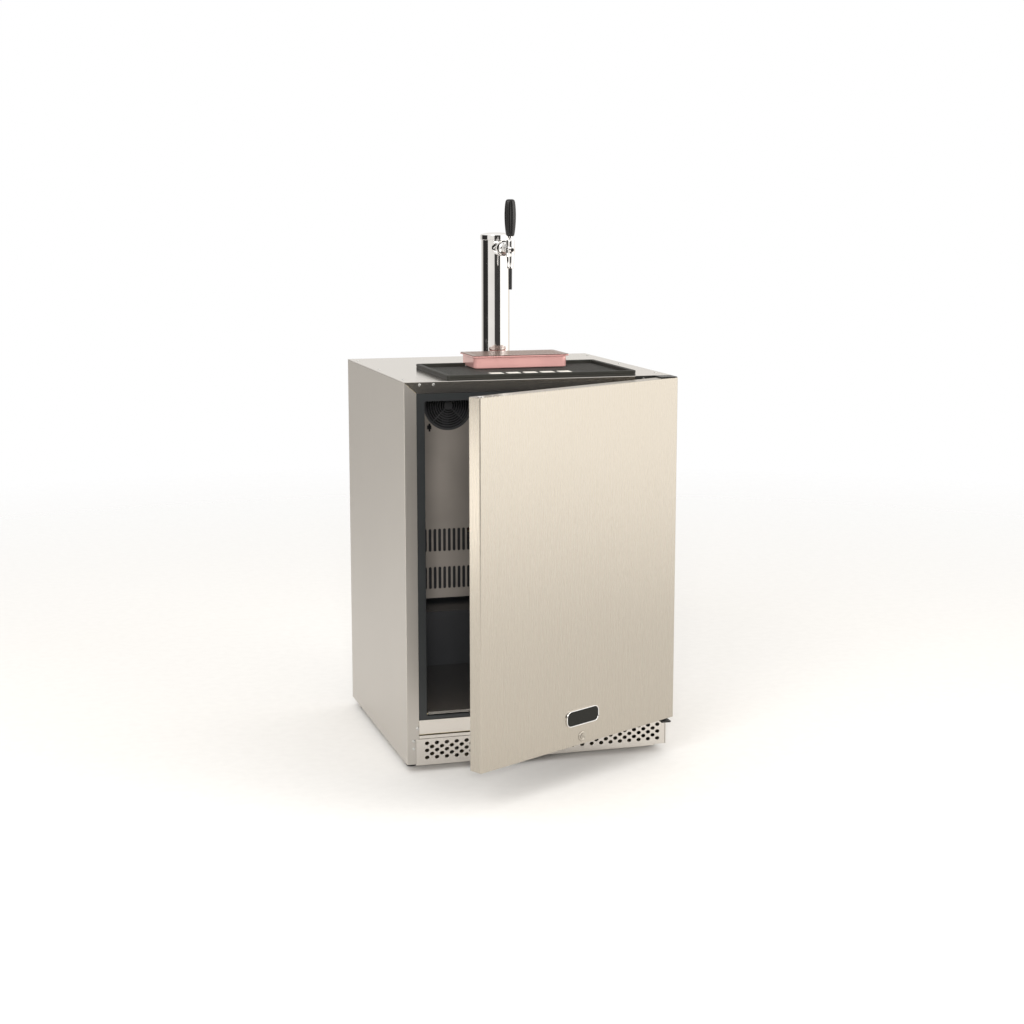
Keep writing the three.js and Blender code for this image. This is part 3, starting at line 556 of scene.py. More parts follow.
def side_panel(node, sign):
    """Flat side with a return at the front, mitred at the top and narrower beside the kick plate."""
    b = box(node)
    outer = b.x0 if sign < 0 else b.x1
    stile = outer - sign * (b.x1 - b.x0)
    by_kick = (kick.x0 - 0.4) if sign < 0 else (kick.x1 + 0.4)
    mitre_end = outer - sign * (CORNER + 0.3)
    levels = [
        (b.z0, by_kick), (kick.z1, by_kick), (kick.z1 + 0.3, stile), (top.z0 - 0.5, stile),
        (b.z1 - 1.0, mitre_end), (b.z1, mitre_end),
    ]
    loops = []
    for z, inner in levels:
        plan = [(outer, b.y1)]
        plan += [(outer - sign * (CORNER - u), b.y0 + CORNER + v) for u, v in bend(0, 0, 0, -90)]
        plan += [(inner, b.y0), (inner, b.y0 + SHEET), (outer - sign * SHEET, b.y0 + SHEET)]
        plan += [(outer - sign * SHEET, b.y1)]
        loops.append([(x, y, z) for x, y in plan])
    shape = Shape().skin(loops)
    piece(node.replace("_panel", "_sheet"), shape, M["side_steel_shaded"], "cabinet", [node])


def top_sheet():
    """The top with its front return, mitred at both ends."""
    lip_end = top.z1 - CORNER - 0.3
    mitre = top.x1 - breaker.x1
    stations = [
        (top.x0, lip_end), (top.x0 + 1.8, lip_end), (top.x0 + mitre, top.z0), (top.x1 - mitre, top.z0),
        (top.x1 - 1.8, lip_end), (top.x1, lip_end),
    ]
    loops = []
    for x, low in stations:
        section = [(top.y1, top.z1)]
        section += [(top.y0 + CORNER + u, top.z1 - CORNER + v) for u, v in bend(0, 0, 90, 180)]
        section += [
            (top.y0, low), (top.y0 + SHEET, low), (top.y0 + SHEET, top.z1 - SHEET), (top.y1, top.z1 - SHEET)
        ]
        loops.append([(x, y, z) for y, z in section])
    piece("top_sheet", Shape().skin(loops), M["top_steel"], "cabinet", ["top_panel"])


def kick_plate():
    """Five staggered rows of punched holes in a plate notched at its lower right corner."""
    pitch, row_pitch, columns = 22.26, 8.0, 25
    first_column, first_row = kick.x0 + 24.7, kick.z1 - 10.3
    notch = kick.x1 - 24.4
    holes = []
    for row in range(5):
        shift = pitch / 2 if row % 2 else 0
        for column in range(columns - row % 2):
            u, v = first_column + column * pitch + shift, first_row - row * row_pitch
            holes.append(lambda d, u=u, v=v: ellipse(u, v, 5.0 - d, 3.9 - d, 14))

    def outline(inset):
        low, step, high = kick.z0 + inset, kick.z0 + 3 + inset, kick.z1 - inset
        left, right = kick.x0 + inset, kick.x1 - inset
        return [
            (left, low), (notch - inset, low), (notch - inset, step), (right, step), (right, high),
            (left, high),
        ]

    shape = Shape().punched(outline, holes, kick.y0, kick.y1, 0.3, face)
    shape.block(Box(kick.x0 + 4, notch - 4, kick.y1 + 0.2, kick.y1 + 9, kick.z0, kick.z0 + 1.2), 0.4)
    piece("kick_grille", shape, M["rail_steel"], "cabinet", ["kick_plate"])


def cabinet_screws():
    """Screws of the top, the front corners and the back."""
    shape = Shape()
    front, back = top.y0, box("rear_panel").y1
    for x in (-265.5, -235.5, 235.5, 265.5):
        shape.screw(middle(top.x0, top.x1) + x, top.z1 - 6.5, front, -1, face, 3.0)
    for x in (top.x0 + 13, top.x1 - 13):
        for y in (top.y0 + 60, top.y0 + 300, top.y1 - 60):
            shape.screw(x, y, top.z1, 1, flat, 3.0)
    for z in (254, 440, 640, top.z1 - 14):
        for x in (top.x0 + 12, top.x1 - 12):
            shape.screw(x, z, back, 1, face, 3.4)
    for x in (-150, 0, 150):
        shape.screw(middle(top.x0, top.x1) + x, top.z1 - 14, back, 1, face, 3.4)
    piece("cabinet_screws", shape, M["zinc"], "cabinet", slot=SLOT_OF["rear_panel"])


def rear_sheet():
    """Galvanised back with a shallow pressed panel."""
    b = box("rear_panel")
    shape = Shape()
    gas = box("gas_grommet")
    hole = centre(gas, face)
    hu, hv = halves(b, face)
    cu, cv = centre(b, face)
    shape.punched(
        lambda d: rounded(cu, cv, hu - d, hv - d, 2, 3), [lambda d: circle(*hole, 9 - d, 32)],
        b.y0, b.y1, 0.3, face,
    )
    for z in (b.z0 + 110, b.z1 - 90):
        shape.solid(
            lambda d, z=z: rounded(cu, z, hu - 70 - d, 5 - d, 5 - d), b.y1 - 0.4, b.y1 + 1.3, 1.2, face
        )
    piece("rear_sheet", shape, M["galvanised"], "cabinet", ["rear_panel"])


def rear_louvres():
    """Plate of the machine compartment: two columns of rounded vents under pressed hoods."""
    b = box("rear_grille")
    inlet = box("power_inlet")
    iu, iv = centre(inlet, face)
    cu, cv = centre(b, face)
    holes = [lambda d: rounded(iu, iv, 18 - d, 15 - d, 2)]
    shape = Shape()
    for row in range(7):
        for u in (cu - 135, cu + 135):
            v = b.z0 + 78 + row * 17
            holes.append(lambda d, u=u, v=v: rounded(u, v, 120 - d, 4 - d, 4 - d))
            hood = [(7, 0.0), (6.4, 1.4), (4.6, 2.6), (4.0, 2.9), (4.0, 2.2), (5.2, 1.2), (5.6, -0.4)]
            loops = []
            for x in (u - 121, u - 118, u - 60, u, u + 60, u + 118, u + 121):
                end = abs(x - u) > 120
                rise = 0.15 if end else 1.0
                loops.append([(x, b.y1 + out * rise, v - 4 + up) for up, out in hood])
            shape.skin(loops)
    hu, hv = halves(b, face)
    shape.punched(lambda d: rounded(cu, cv, hu - d, hv - d, 2, 3), holes, b.y0, b.y1, 0.3, face)
    for x in (b.x0 + 9, b.x1 - 9):
        for z in (b.z0 + 9, b.z1 - 9):
            shape.screw(x, z, b.y1, 1, face, 3.4)
    piece("rear_louvres", shape, M["galvanised"], "cabinet", ["rear_grille"])


def stile_plugs():
    """The left stile's hinge-hole pin and two screws, for a door hung the other way."""
    shape = Shape()
    b = box("left_side_panel")
    shape.screw(b.x1 - 3, kick.z1 + 25, b.y0, -1, face, 3.8)
    for z in (kick.z1 - 3.5, kick.z1 - 20.5):
        shape.screw(b.x0 + 15, z, b.y0, -1, face, 3.4)
    piece("stile_screws", shape, M["zinc"], "cabinet", slot=SLOT_OF["rear_panel"])


def foot(node):
    """Levelling foot: domed pad, hexagon and threaded stem."""
    b = box(node)
    x, y = centre(b, flat)
    shape = Shape()
    pad = [
        (0, 0), (8.4, 0), (9.8, 0.5), (11.6, 2.3), (12.7, 4.7), (13, 7.2), (12.6, 9.6), (11.2, 11.4),
        (0, 12),
    ]
    shape.turned(pad, x, y)
    shape.turned([(0, 11), (9.6, 11), (10.2, 11.6), (10.2, 14), (9.4, 14.6), (0, 14.6)], x, y, count=6)
    stem = [(0, 14)]
    for turn in range(15):
        z = 14.4 + turn * 2
        stem += [(4.2, z), (5.0, z + 0.9)]
    stem += [(4.2, b.z1 - 0.6), (0, b.z1)]
    shape.turned(stem, x, y, count=24)
    piece(node + "_pad", shape, M["foot"], BODY_OF[node], [node])


# ---------------------------------------------------------------- inside


def evaporator_cover():
    """Grey panel with the fan's mouth and two rows of slots."""
    b = box("evaporator_cover")
    fan = box("fan_guard")
    fu, fv = centre(fan, face)
    cu, cv = centre(b, face)
    holes = [lambda d: circle(fu, fv, 55 - d, 64)]
    for v, hv in ((b.z0 + 49.8, 27.2), (b.z0 + 143, 28)):
        for i in range(22):
            u = cu - 132.6 + i * 12
            holes.append(lambda d, u=u, v=v, hv=hv: rounded(u, v, 3.5 - d, hv - d, 3.5 - d, 4))
    hu, hv = halves(b, face)
    shape = Shape()
    shape.punched(lambda d: rounded(cu, cv, hu - d, hv - d, 3, 4), holes, b.y0, b.y0 + 1.4, 0.35, face)
    walls = [
        Box(b.x0, b.x0 + 1.4, b.y0 + 1.2, b.y1, b.z0, b.z1),
        Box(b.x1 - 1.4, b.x1, b.y0 + 1.2, b.y1, b.z0, b.z1),
    ]
    walls.append(Box(b.x0, b.x1, b.y0 + 1.2, b.y1, b.z0, b.z0 + 1.4))
    for wall in walls:
        shape.block(wall, 0.4)
    for u, v in (
        (b.x0 + 14, b.z0 + 14), (b.x1 - 14, b.z0 + 14), (b.x0 + 14, b.z1 - 14), (b.x1 - 14, b.z1 - 14)
    ):
        shape.screw(u, v, b.y0, -1, face, 3.4)
    piece("evaporator_panel", shape, M["cover_plastic"], "cabinet", ["evaporator_cover"])


def fan_guard():
    """Moulded guard: eight rings, four spokes and a hub."""
    b = box("fan_guard")
    cu, cv, rear = *centre(b, face), b.y1
    outer = (b.x1 - b.x0) / 2
    shape = Shape()
    for i in range(8):
        radius = outer - 4.5 - i * 5.8
        section = [(radius + du, rear - dw) for du, dw in circle(0, 3.0, 1.25, 10)]
        shape.loft([(circle(cu, cv, r, 72), w) for r, w in section], face, closed=True)
    rim = [
        (outer, rear), (outer, rear - 3.4), (outer - 0.8, rear - 4.8), (outer - 2.6, rear - 5),
        (outer - 3.4, rear - 4),
    ]
    rim += [(outer - 3.6, rear)]
    shape.loft([(circle(cu, cv, r, 96), w) for r, w in rim], face, closed=True)
    hub = [(0, rear - 1.2), (11, rear - 1.2), (11, rear - 3.6), (10, rear - 4.6), (0, rear - 5)]
    shape.turned(hub, cu, cv, face)
    for k in range(4):
        angle = math.pi / 4 + k * math.pi / 2
        across = Vector((-math.sin(angle), math.cos(angle))) * 1.3
        ends = [Vector((math.cos(angle), math.sin(angle))) * r for r in (9, outer - 1.5)]
        loops = []
        for end in ends:
            corners = [end + across, end - across, end - across * 0.6, end + across * 0.6]
            heights = [rear - 1.6, rear - 1.6, rear - 4.7, rear - 4.7]
            loops.append([face(cu + c.x, cv + c.y, w) for c, w in zip(corners, heights)])
        shape.skin(loops)
    piece("fan_guard_rings", shape, M["guard_plastic"], "cabinet", ["fan_guard"])


def rotor(node, name, material, axis, blades, hub_radius, sweep):
    """Pitched and swept blades about a hub. axis is the view whose height runs along the shaft."""
    b = box(node)
    if axis is face:
        cu, cv, low, high = *centre(b, face), b.y0, b.y1
        reach = (b.x1 - b.x0) / 2
    else:
        cu, cv, low, high = middle(b.y0, b.y1), middle(b.z0, b.z1), b.x0, b.x1
        reach = (b.z1 - b.z0) / 2
    if node == "evaporator_fan_blade":
        joint = Vector(JOINTS["evaporator_fan_spin"]["pos_m"]) / MM
        cu, cv, reach = joint.x, joint.z, 50
    half = (high - low) / 2
    mid = middle(low, high)
    shape = Shape()
    shape.turned([
        (0, low + 0.4), (hub_radius - 2, low + 0.4), (hub_radius, low + 2), (hub_radius, high), (0, high)
    ], cu, cv, axis, 40)
    for k in range(blades):
        loops = []
        for i in range(7):
            t = i / 6
            radius = hub_radius - 1.5 + t * (reach - 1 - hub_radius + 1.5)
            spread = math.radians(sweep) * (0.62 + 0.38 * t)
            lean = half * (0.9 - 0.25 * t)
            start = 2 * math.pi * k / blades + 0.22 * t
            top_line, low_line = [], []
            for j in range(7):
                s = j / 6 - 0.5
                angle = start + spread * s
                w = mid + lean * 2 * s * 0.86 + 0.9 * math.cos(math.pi * s)
                point = (cu + radius * math.cos(angle), cv + radius * math.sin(angle))
                top_line.append(axis(*point, w + 0.6))
                low_line.append(axis(*point, w - 0.6))
            loops.append(top_line + low_line[::-1])
        shape.skin(loops)
    piece(name, shape, material, BODY_OF[node], [node])


def thermostat():
    """Dial with a pointer, over a ring of plain ticks on its housing."""
    eased("thermostat_housing", "thermostat_case", M["white_plastic"], 1.6, 3)
    b = box("thermostat_knob")
    cu, cv = centre(b, flat)
    shape = Shape()
    ribs = 24

    def ribbed(radius, depth):
        return [
            (cu + (radius - depth * (i % 2)) * math.cos(math.pi * i / ribs),
             cv + (radius - depth * (i % 2)) * math.sin(math.pi * i / ribs)) for i in range(2 * ribs)
        ]

    rings = [
        (ribbed(15, 0.1), b.z1), (ribbed(17, 0.6), b.z1 - 0.8), (ribbed(16.6, 0.7), b.z0 + 9),
        (ribbed(15.4, 0.2), b.z0 + 7.6),
    ]
    shape.loft(rings)
    shape.solid(lambda d: rounded(cu, cv, 3 - d, 15.5 - d, 2.5 - d), b.z0, b.z0 + 8.5, 1.0)
    piece("thermostat_dial", shape, M["black_plastic"], "thermostat", ["thermostat_knob"])
    housing = box("thermostat_housing")
    marks = Shape()
    for k in range(11):
        angle = math.radians(-135 + 27 * k - 90)
        u, v = cu + 22 * math.cos(angle), cv + 22 * math.sin(angle)
        marks.turned([
            (0, housing.z0 + 0.3), (1.0, housing.z0 + 0.3), (1.0, housing.z0 - 0.2), (0, housing.z0 - 0.3)
        ], u, v, count=10)
    piece("thermostat_ticks", marks, M["black_plastic"], "cabinet", slot=SLOT_OF["thermostat_knob"])


def compressor():
    """Black welded shell on a base plate, with its terminal cover."""
    b = box("compressor")
    x, y = centre(b, flat)
    shape = Shape()
    base = b.z0
    shape.turned([
        (0, base + 3), (48, base + 3), (57, base + 6), (62, base + 14), (64, base + 40), (64, base + 68),
        (65.5, base + 69), (65.5, base + 73), (64, base + 74), (64, base + 106), (62, base + 122),
        (55, base + 138), (42, base + 150), (24, base + 156), (0, base + 157.6),
    ], x, y, count=64)
    shape.block(Box(b.x0, b.x1, b.y0 + 8, b.y1 - 8, base, base + 3.4), 1.2, 8)
    shape.block(Box(x + 40, x + 70, y - 22, y + 22, base + 44, base + 92), 4, 6)
    piece("compressor_shell", shape, M["black_steel"], "cabinet", ["compressor"])


def condenser():
    """Wire condenser: a serpentine tube between rows of wires."""
    b = box("condenser")
    shape = Shape()
    for x in (b.x0 + 3, b.x1 - 3):
        for i in range(22):
            y = b.y0 + 3 + i * (b.y1 - b.y0 - 6) / 21
            shape.tube([Vector((x, y, b.z0 + 16)), Vector((x, y, b.z1))], 1.0, 6)
    path = []
    for row in range(9):
        z = b.z0 + 22 + row * 19
        ends = (b.y0 + 6, b.y1 - 6) if row % 2 == 0 else (b.y1 - 6, b.y0 + 6)
        path += [Vector((middle(b.x0, b.x1), ends[0], z)), Vector((middle(b.x0, b.x1), ends[1], z))]
    rounds = []
    for i, point in enumerate(path):
        rounds.append(point)
        if i % 2 == 1 and i + 1 < len(path):
            out = 5 if point.y > middle(b.y0, b.y1) else -5
            rounds.append(Vector((point.x, point.y + out, point.z + 5)))
            rounds.append(Vector((point.x, point.y + out, point.z + 14)))
    shape.tube(rounds, 3.0, 10)
    for y in (b.y0 + 8, b.y1 - 8):
        shape.block(Box(b.x0 + 2, b.x1 - 2, y - 1, y + 1, b.z0, b.z1 - 2), 0.4)
    piece("condenser_wires", shape, M["black_steel"], "cabinet", ["condenser"])


def power_inlet():
    """Appliance inlet with three plain pins."""
    b = box("power_inlet")
    cu, cv = centre(b, face)
    shape = Shape()
    socket = lambda d: rounded(cu, cv, 12 - d, 8 - d, 2.5)
    shape.punched(lambda d: rounded(cu, cv, 22 - d, 18 - d, 4), [socket], b.y1 - 1.7, b.y1, 0.4, face)
    shape.punched(lambda d: rounded(cu, cv, 17 - d, 14 - d, 2), [socket], b.y0, b.y1 - 1.6, 0.3, face)
    shape.block(Box(cu - 13, cu + 13, b.y0 + 1, b.y0 + 8, cv - 9, cv + 9), 0.3)
    piece("inlet_body", shape, M["black_plastic"], "cabinet", ["power_inlet"])
    pins = Shape()
    for u, v in ((cu - 7, cv - 1.5), (cu, cv + 2.5), (cu + 7, cv - 1.5)):
        pins.block(Box(u - 1, u + 1, b.y0 + 7, b.y1 - 5, v - 2.6, v + 2.6), 0.3)
    for u in (cu - 19.5, cu + 19.5):
        pins.screw(u, cv, b.y1, 1, face, 1.8)
    piece("inlet_pins", pins, M["brass"], "cabinet", slot=SLOT_OF["faucet_plunger"])


def gas_grommet():
    b = box("gas_grommet")
    cu, cv = centre(b, face)
    profile = [
        (5, b.y0 + 1), (6, b.y0), (11.2, b.y0), (12, b.y0 + 0.9), (12, b.y0 + 3.2), (8.4, b.y0 + 3.7),
        (8.4, b.y1 - 3.0), (13, b.y1 - 2.6), (13, b.y1 - 0.9), (12, b.y1), (6, b.y1), (5, b.y1 - 1),
    ]
    shape = Shape().loft([(circle(cu, cv, r, 40), w) for r, w in profile], face, closed=True)
    piece("gas_bush", shape, M["foot"], "cabinet", ["gas_grommet"])


# ---------------------------------------------------------------- door

skin_box = shut_box("door_skin")
DOOR_X = middle(skin_box.x0, skin_box.x1)


def door_wrap():
    """Stainless door: softly bent vertical edges and crisp folded ends."""
    b = skin_box
    shape = Shape()
    hu, hw = halves(b, flat)

    def plan(inset):
        return rounded(DOOR_X, middle(b.y0, b.y1), hu - inset, hw - inset, 2.6 - inset, 5)

    shape.solid(plan, b.z0, b.z1, 0.7)
    piece("door_wrap", shape, M["door_steel_shaded"], "door", ["door_skin", "door_foam"], shut=True)
    plug_box = shut_box("door_end_plug")
    cap = Shape().turned(
        [(0, b.z1 - 1), (4.5, b.z1 - 1), (7, b.z1), (7, b.z1 + 0.9), (5.6, b.z1 + 1.5), (0, b.z1 + 1.6)],
        *centre(plug_box, flat), count=32,
    )
    piece("door_plug", cap, M["chrome"], "door", ["door_end_plug"], shut=True)


def door_inside():
    """Inner panel with a raised dyke, and the magnetic gasket around it."""
    b = shut_box("door_liner")
    cu, cv = centre(b, face)
    hu, hv = halves(b, face)
    plate = skin_box.y1
    shape = Shape()
    rings = [
        (0.0, plate - 0.8), (0.0, plate + 0.9), (0.6, plate + 1.6), (2.0, plate + 1.8), (42, plate + 1.8),
        (44.5, plate + 3.4), (46.5, plate + 12), (48.5, plate + 15), (52, plate + 16), (66, plate + 16),
        (70, plate + 15), (73, plate + 12.4), (77, plate + 11.4),
    ]
    shape.loft([(rounded(cu, cv, hu - d, hv - d, max(4, 26 - abs(d - 50) * 0.5)), w) for d, w in rings], face)
    for k in range(-2, 3):
        shape.solid(
            lambda d, k=k: rounded(cu + k * 74, cv, 9 - d, hv - 112 - d, 9 - d),
            plate + 10.5, plate + 14, 2.4, face,
        )
    piece("door_inner_panel", shape, M["liner_plastic"], "door", ["door_liner"], shut=True)
    g = shut_box("door_gasket")
    gu, gv = halves(g, face)
    low, high = g.y0, g.y1
    profile = [
        (1.0, low), (0.0, low + 1.2), (1.6, low + 2.3), (0.2, low + 3.6), (0.2, high - 1.2),
        (1.2, high - 0.2), (12.5, high), (16.5, high - 0.8), (17.4, high - 2), (16, low + 2.4),
        (17.6, low + 1.2), (17, low),
    ]
    seal = Shape().loft(
        [(
            rounded(*centre(g, face), gu - d, gv - d, max(3.0, 6 - d * 0.1), 3), w
        ) for d, w in profile],
        face, closed=True,
    )
    piece("door_seal", seal, M["gasket"], "door", ["door_gasket"], shut=True)


def badge():
    """Blank badge with round corners: chrome rim and gloss black face."""
    b = shut_box("badge_rim")
    cu, cv = centre(b, face)
    hu, hv = halves(b, face)
    outline = lambda d: rounded(cu, cv, hu - d, hv - d, 14 - d, 14)
    front, rear = b.y0, b.y1
    profile = [
        (0, rear), (0, front + 1.0), (0.5, front + 0.25), (1.2, front), (1.9, front + 0.4),
        (2.5, front + 1.3), (2.5, rear),
    ]
    rim = Shape().loft([(outline(d), w) for d, w in profile], face, closed=True)
    piece("badge_ring", rim, M["chrome"], "door", ["badge_rim"], shut=True)
    plate = Shape().loft([
        (outline(2.5), rear), (outline(2.5), front + 1.6), (outline(3.2), front + 1.3),
        (outline(9), front + 1.2),
    ], face)
    piece("badge_plate", plate, M["badge"], "door", ["badge_face"], shut=True)


def lock():
    """Cylinder lock: stepped bezel, plug with a keyway, and the cam behind."""
    b = shut_box("lock_body")
    cu, cv = centre(b, face)
    front = b.y0
    body = [
        (6.2, b.y1), (9, b.y1), (9, skin_box.y0), (10.4, skin_box.y0), (11, skin_box.y0 - 0.4),
        (10.6, front + 0.5), (9.4, front), (7.4, front), (6.9, front + 0.5), (6.2, front + 0.6),
    ]
    bezel = Shape().loft([(circle(cu, cv, r, 48), w) for r, w in body], face, closed=True)
    piece("lock_bezel", bezel, M["satin"], "door", ["lock_body"], shut=True)
    p = shut_box("lock_plug")
    plug = Shape()
    keyway = lambda d: rounded(cu, cv, 0.8 - d, 3.2 - d, 0.5, 2)
    plug.punched(lambda d: circle(cu, cv, 6.0 - d, 40), [keyway], p.y0, p.y0 + 5, 0.3, face)
    plug.turned([(0, p.y0 + 4.9), (5.8, p.y0 + 4.9), (5.8, p.y1), (0, p.y1)], cu, cv, face, 32)
    c = shut_box("lock_cam")
    arm = lambda d: rounded(
        *centre(c, face), (c.x1 - c.x0) / 2 - d, (c.z1 - c.z0) / 2 - d, 4.6 - d
    )
    plug.solid(arm, c.y0, c.y1, 0.4, face)
    plug.turned(
        [(0, p.y1 - 0.5), (4.6, p.y1 - 0.5), (4.6, c.y1 + 1.4), (4, c.y1 + 1.8), (0, c.y1 + 1.8)], cu, cv,
        face, 6,
    )
    piece("lock_cylinder", plug, M["satin"], "lock", ["lock_plug", "lock_cam"], shut=True)


def hinges():
    # The plates and pins take the near-black matt finish that stands in for the shadow of the hinge gap.
    for node in ("upper_hinge_bracket", "lower_hinge_bracket"):
        eased(node, node + "_plate", M["hinge_shadow_black"], 0.5)
    for node, collar in (("upper_hinge_pin", ()), ("lower_hinge_pin", (4.1, 9.9))):
        b = box(node)
        x, y = centre(b, flat)
        profile = [(0, b.z0), (3.4, b.z0), (4, b.z0 + 0.6)]
        if collar:
            low, high = b.z0 + collar[0], b.z0 + collar[1]
            profile += [(4, low), (6.1, low), (6.5, low + 0.4), (6.5, high - 0.4), (6.1, high), (4, high)]
        profile += [(4, b.z1 - 0.6), (3.4, b.z1), (0, b.z1)]
        piece(node + "_rod", Shape().turned(profile, x, y, count=32), M["hinge_shadow_black"], "cabinet", [node])


# ---------------------------------------------------------------- on the top

mat = box("bar_mat")
tray = box("drip_tray")


def bar_mat():
    """Rubber service mat: grooved rim, studded floor, a gap in the back rim for the tray."""
    cu, cv = centre(mat, flat)
    hu, hv = halves(mat, flat)
    floor = mat.z0 + 3.7
    rim = [
        (0.0, mat.z0), (0.0, mat.z0 + 3.2), (0.8, mat.z0 + 4.0), (0.8, mat.z0 + 4.8), (0.0, mat.z0 + 5.6),
        (0.0, mat.z1 - 1.0), (0.9, mat.z1), (2.2, mat.z1), (2.7, mat.z1 - 1.0), (3.4, mat.z1 - 1.0),
        (3.9, mat.z1), (5.4, mat.z1), (5.9, mat.z1 - 1.0), (6.6, mat.z1 - 1.0), (7.1, mat.z1),
        (8.2, mat.z1), (9.0, mat.z1 - 0.8), (9.0, floor - 0.6), (10, floor - 1.0),
    ]
    shape = Shape().loft([(rounded(cu, cv, hu - d, hv - d, max(7 - d * 0.5, 2.5)), z) for d, z in rim])
    obj = piece("mat_sheet", shape, M["mat"], "mat", ["bar_mat"])
    gap_low, gap_high = tray.x0 - 3 + 7, tray.x1 + 3 - 7
    cutter = Shape().block(Box(gap_low, gap_high, tray.y1 - 55, mat.y1 + 5, floor - 0.5, mat.z1 + 5), 0.01)
    trim(obj, cutter)
    studs = Shape()
    pitch = 6.2
    across = int((2 * hu - 24) / pitch)
    along = int((2 * hv - 24) / pitch)
    for i in range(across + 1):
        for j in range(along + 1):
            u = cu - across * pitch / 2 + i * pitch
            v = cv - along * pitch / 2 + j * pitch
            under_tray = tray.x0 + 4 < u < tray.x1 - 4 and v > tray.y0 + 4
            if marked(u, v) or under_tray:
                continue
            studs.loft([
                (circle(u, v, 1.7, 7), floor - 1.1), (circle(u, v, 1.3, 7), floor - 0.15),
                (circle(u, v, 0.7, 7), floor),
            ])
    piece("mat_studs", studs, M["mat"], "mat", slot=SLOT_OF["bar_mat"])
    marks = Shape()
    for u0, u1 in MARKS:
        marks.solid(
            lambda d, u0=u0, u1=u1: rounded(
                middle(u0, u1), MARK_Y, (u1 - u0) / 2 - d, 15 - d, 2
            ), floor - 1.1, floor + 0.3, 0.4
        )
    piece("mat_dashes", marks, M["mat_mark"], "mat", slot=SLOT_OF["bar_mat"])


MARK_Y = mat.y0 + 97
MARKS = [(mat.x0 + 121 + 39 * k, mat.x0 + 149 + 39 * k) for k in range(5)]


def marked(u, v):
    """Whether a stud would stand on one of the mat's plain dashes."""
    return abs(v - MARK_Y) < 17.5 and any(u0 - 2.5 < u < u1 + 2.5 for u0, u1 in MARKS)


def trim(obj, cutter):
    """Takes a Shape away from a piece."""
    mesh = plain_mesh("cutter", cutter)
    bm = bmesh.new()
    bm.from_mesh(mesh)
    bmesh.ops.recalc_face_normals(bm, faces=bm.faces)
    bm.to_mesh(mesh)
    bm.free()
    tool = bpy.data.objects.new("cutter", mesh)
    bpy.context.scene.collection.objects.link(tool)
    knife = obj.modifiers.new("trim", "BOOLEAN")
    knife.operation = "DIFFERENCE"
    knife.object = tool
    obj.modifiers.move(len(obj.modifiers) - 1, 0)
    weighted = [m for m in obj.modifiers if m.type == "WEIGHTED_NORMAL"]
    for modifier in weighted:
        modifier.show_viewport = False
    bpy.context.view_layer.update()
    made = bpy.data.meshes.new_from_object(obj.evaluated_get(bpy.context.evaluated_depsgraph_get()))
    obj.modifiers.remove(knife)
    for modifier in weighted:
        modifier.show_viewport = True
    obj.data = made
    bpy.data.objects.remove(tool)


def drip_tray():
    """Drawn tray: filleted floor, upright walls and a rolled flange with tighter corners."""
    top_z = tray.z1
    flange = 4
    hu, hv = halves(tray, flat)
    cu, cv = centre(tray, flat)
    low = tray.z0
    profile = [
        (flange + 3.4, low, 10), (flange + 1.6, low + 0.4, 12), (flange + 0.5, low + 1.4, 13),
        (flange, low + 3, 13.5), (flange, top_z - 4.4, 13.5), (flange - 0.3, top_z - 3.3, 13),
        (2.0, top_z - 2.7, 8), (0.8, top_z - 2.6, 6.5), (0.1, top_z - 2.0, 6), (0.0, top_z - 1.2, 6),
        (0.4, top_z - 0.3, 6), (1.2, top_z, 6), (flange + 0.6, top_z, 11),
        (flange + 1.3, top_z - 0.8, 11.5), (flange + 1.3, low + 4, 11.5), (flange + 2.6, low + 1.9, 10),
        (flange + 4.6, low + 1.6, 8),
    ]
    shape = Shape().loft([(rounded(cu, cv, hu - d, hv - d, r, 10), z) for d, z, r in profile])
    piece("tray_pan", shape, M["rose"], "tray", ["drip_tray"])


def drip_grille():
    """Perforated lid with a turned rim."""
    b = box("drip_grille")
    cu, cv = centre(b, flat)
    hu, hv = halves(b, flat)
    holes = []
    pitch = 9.0
    for row in range(-6, 7):
        shift = pitch / 2 if row % 2 else 0
        last = 10 if row % 2 else 11
        for column in range(-11, last + 1):
            u, v = cu + column * pitch + shift, cv + row * pitch * 0.82
            holes.append(lambda d, u=u, v=v: circle(u, v, 2.7 - d, 10))
    shape = Shape()
    shape.punched(lambda d: rounded(cu, cv, hu - d, hv - d, 5, 6), holes, b.z0, b.z1, 0.35)
    piece("tray_grille", shape, M["grille_steel"], "grille", ["drip_grille"])


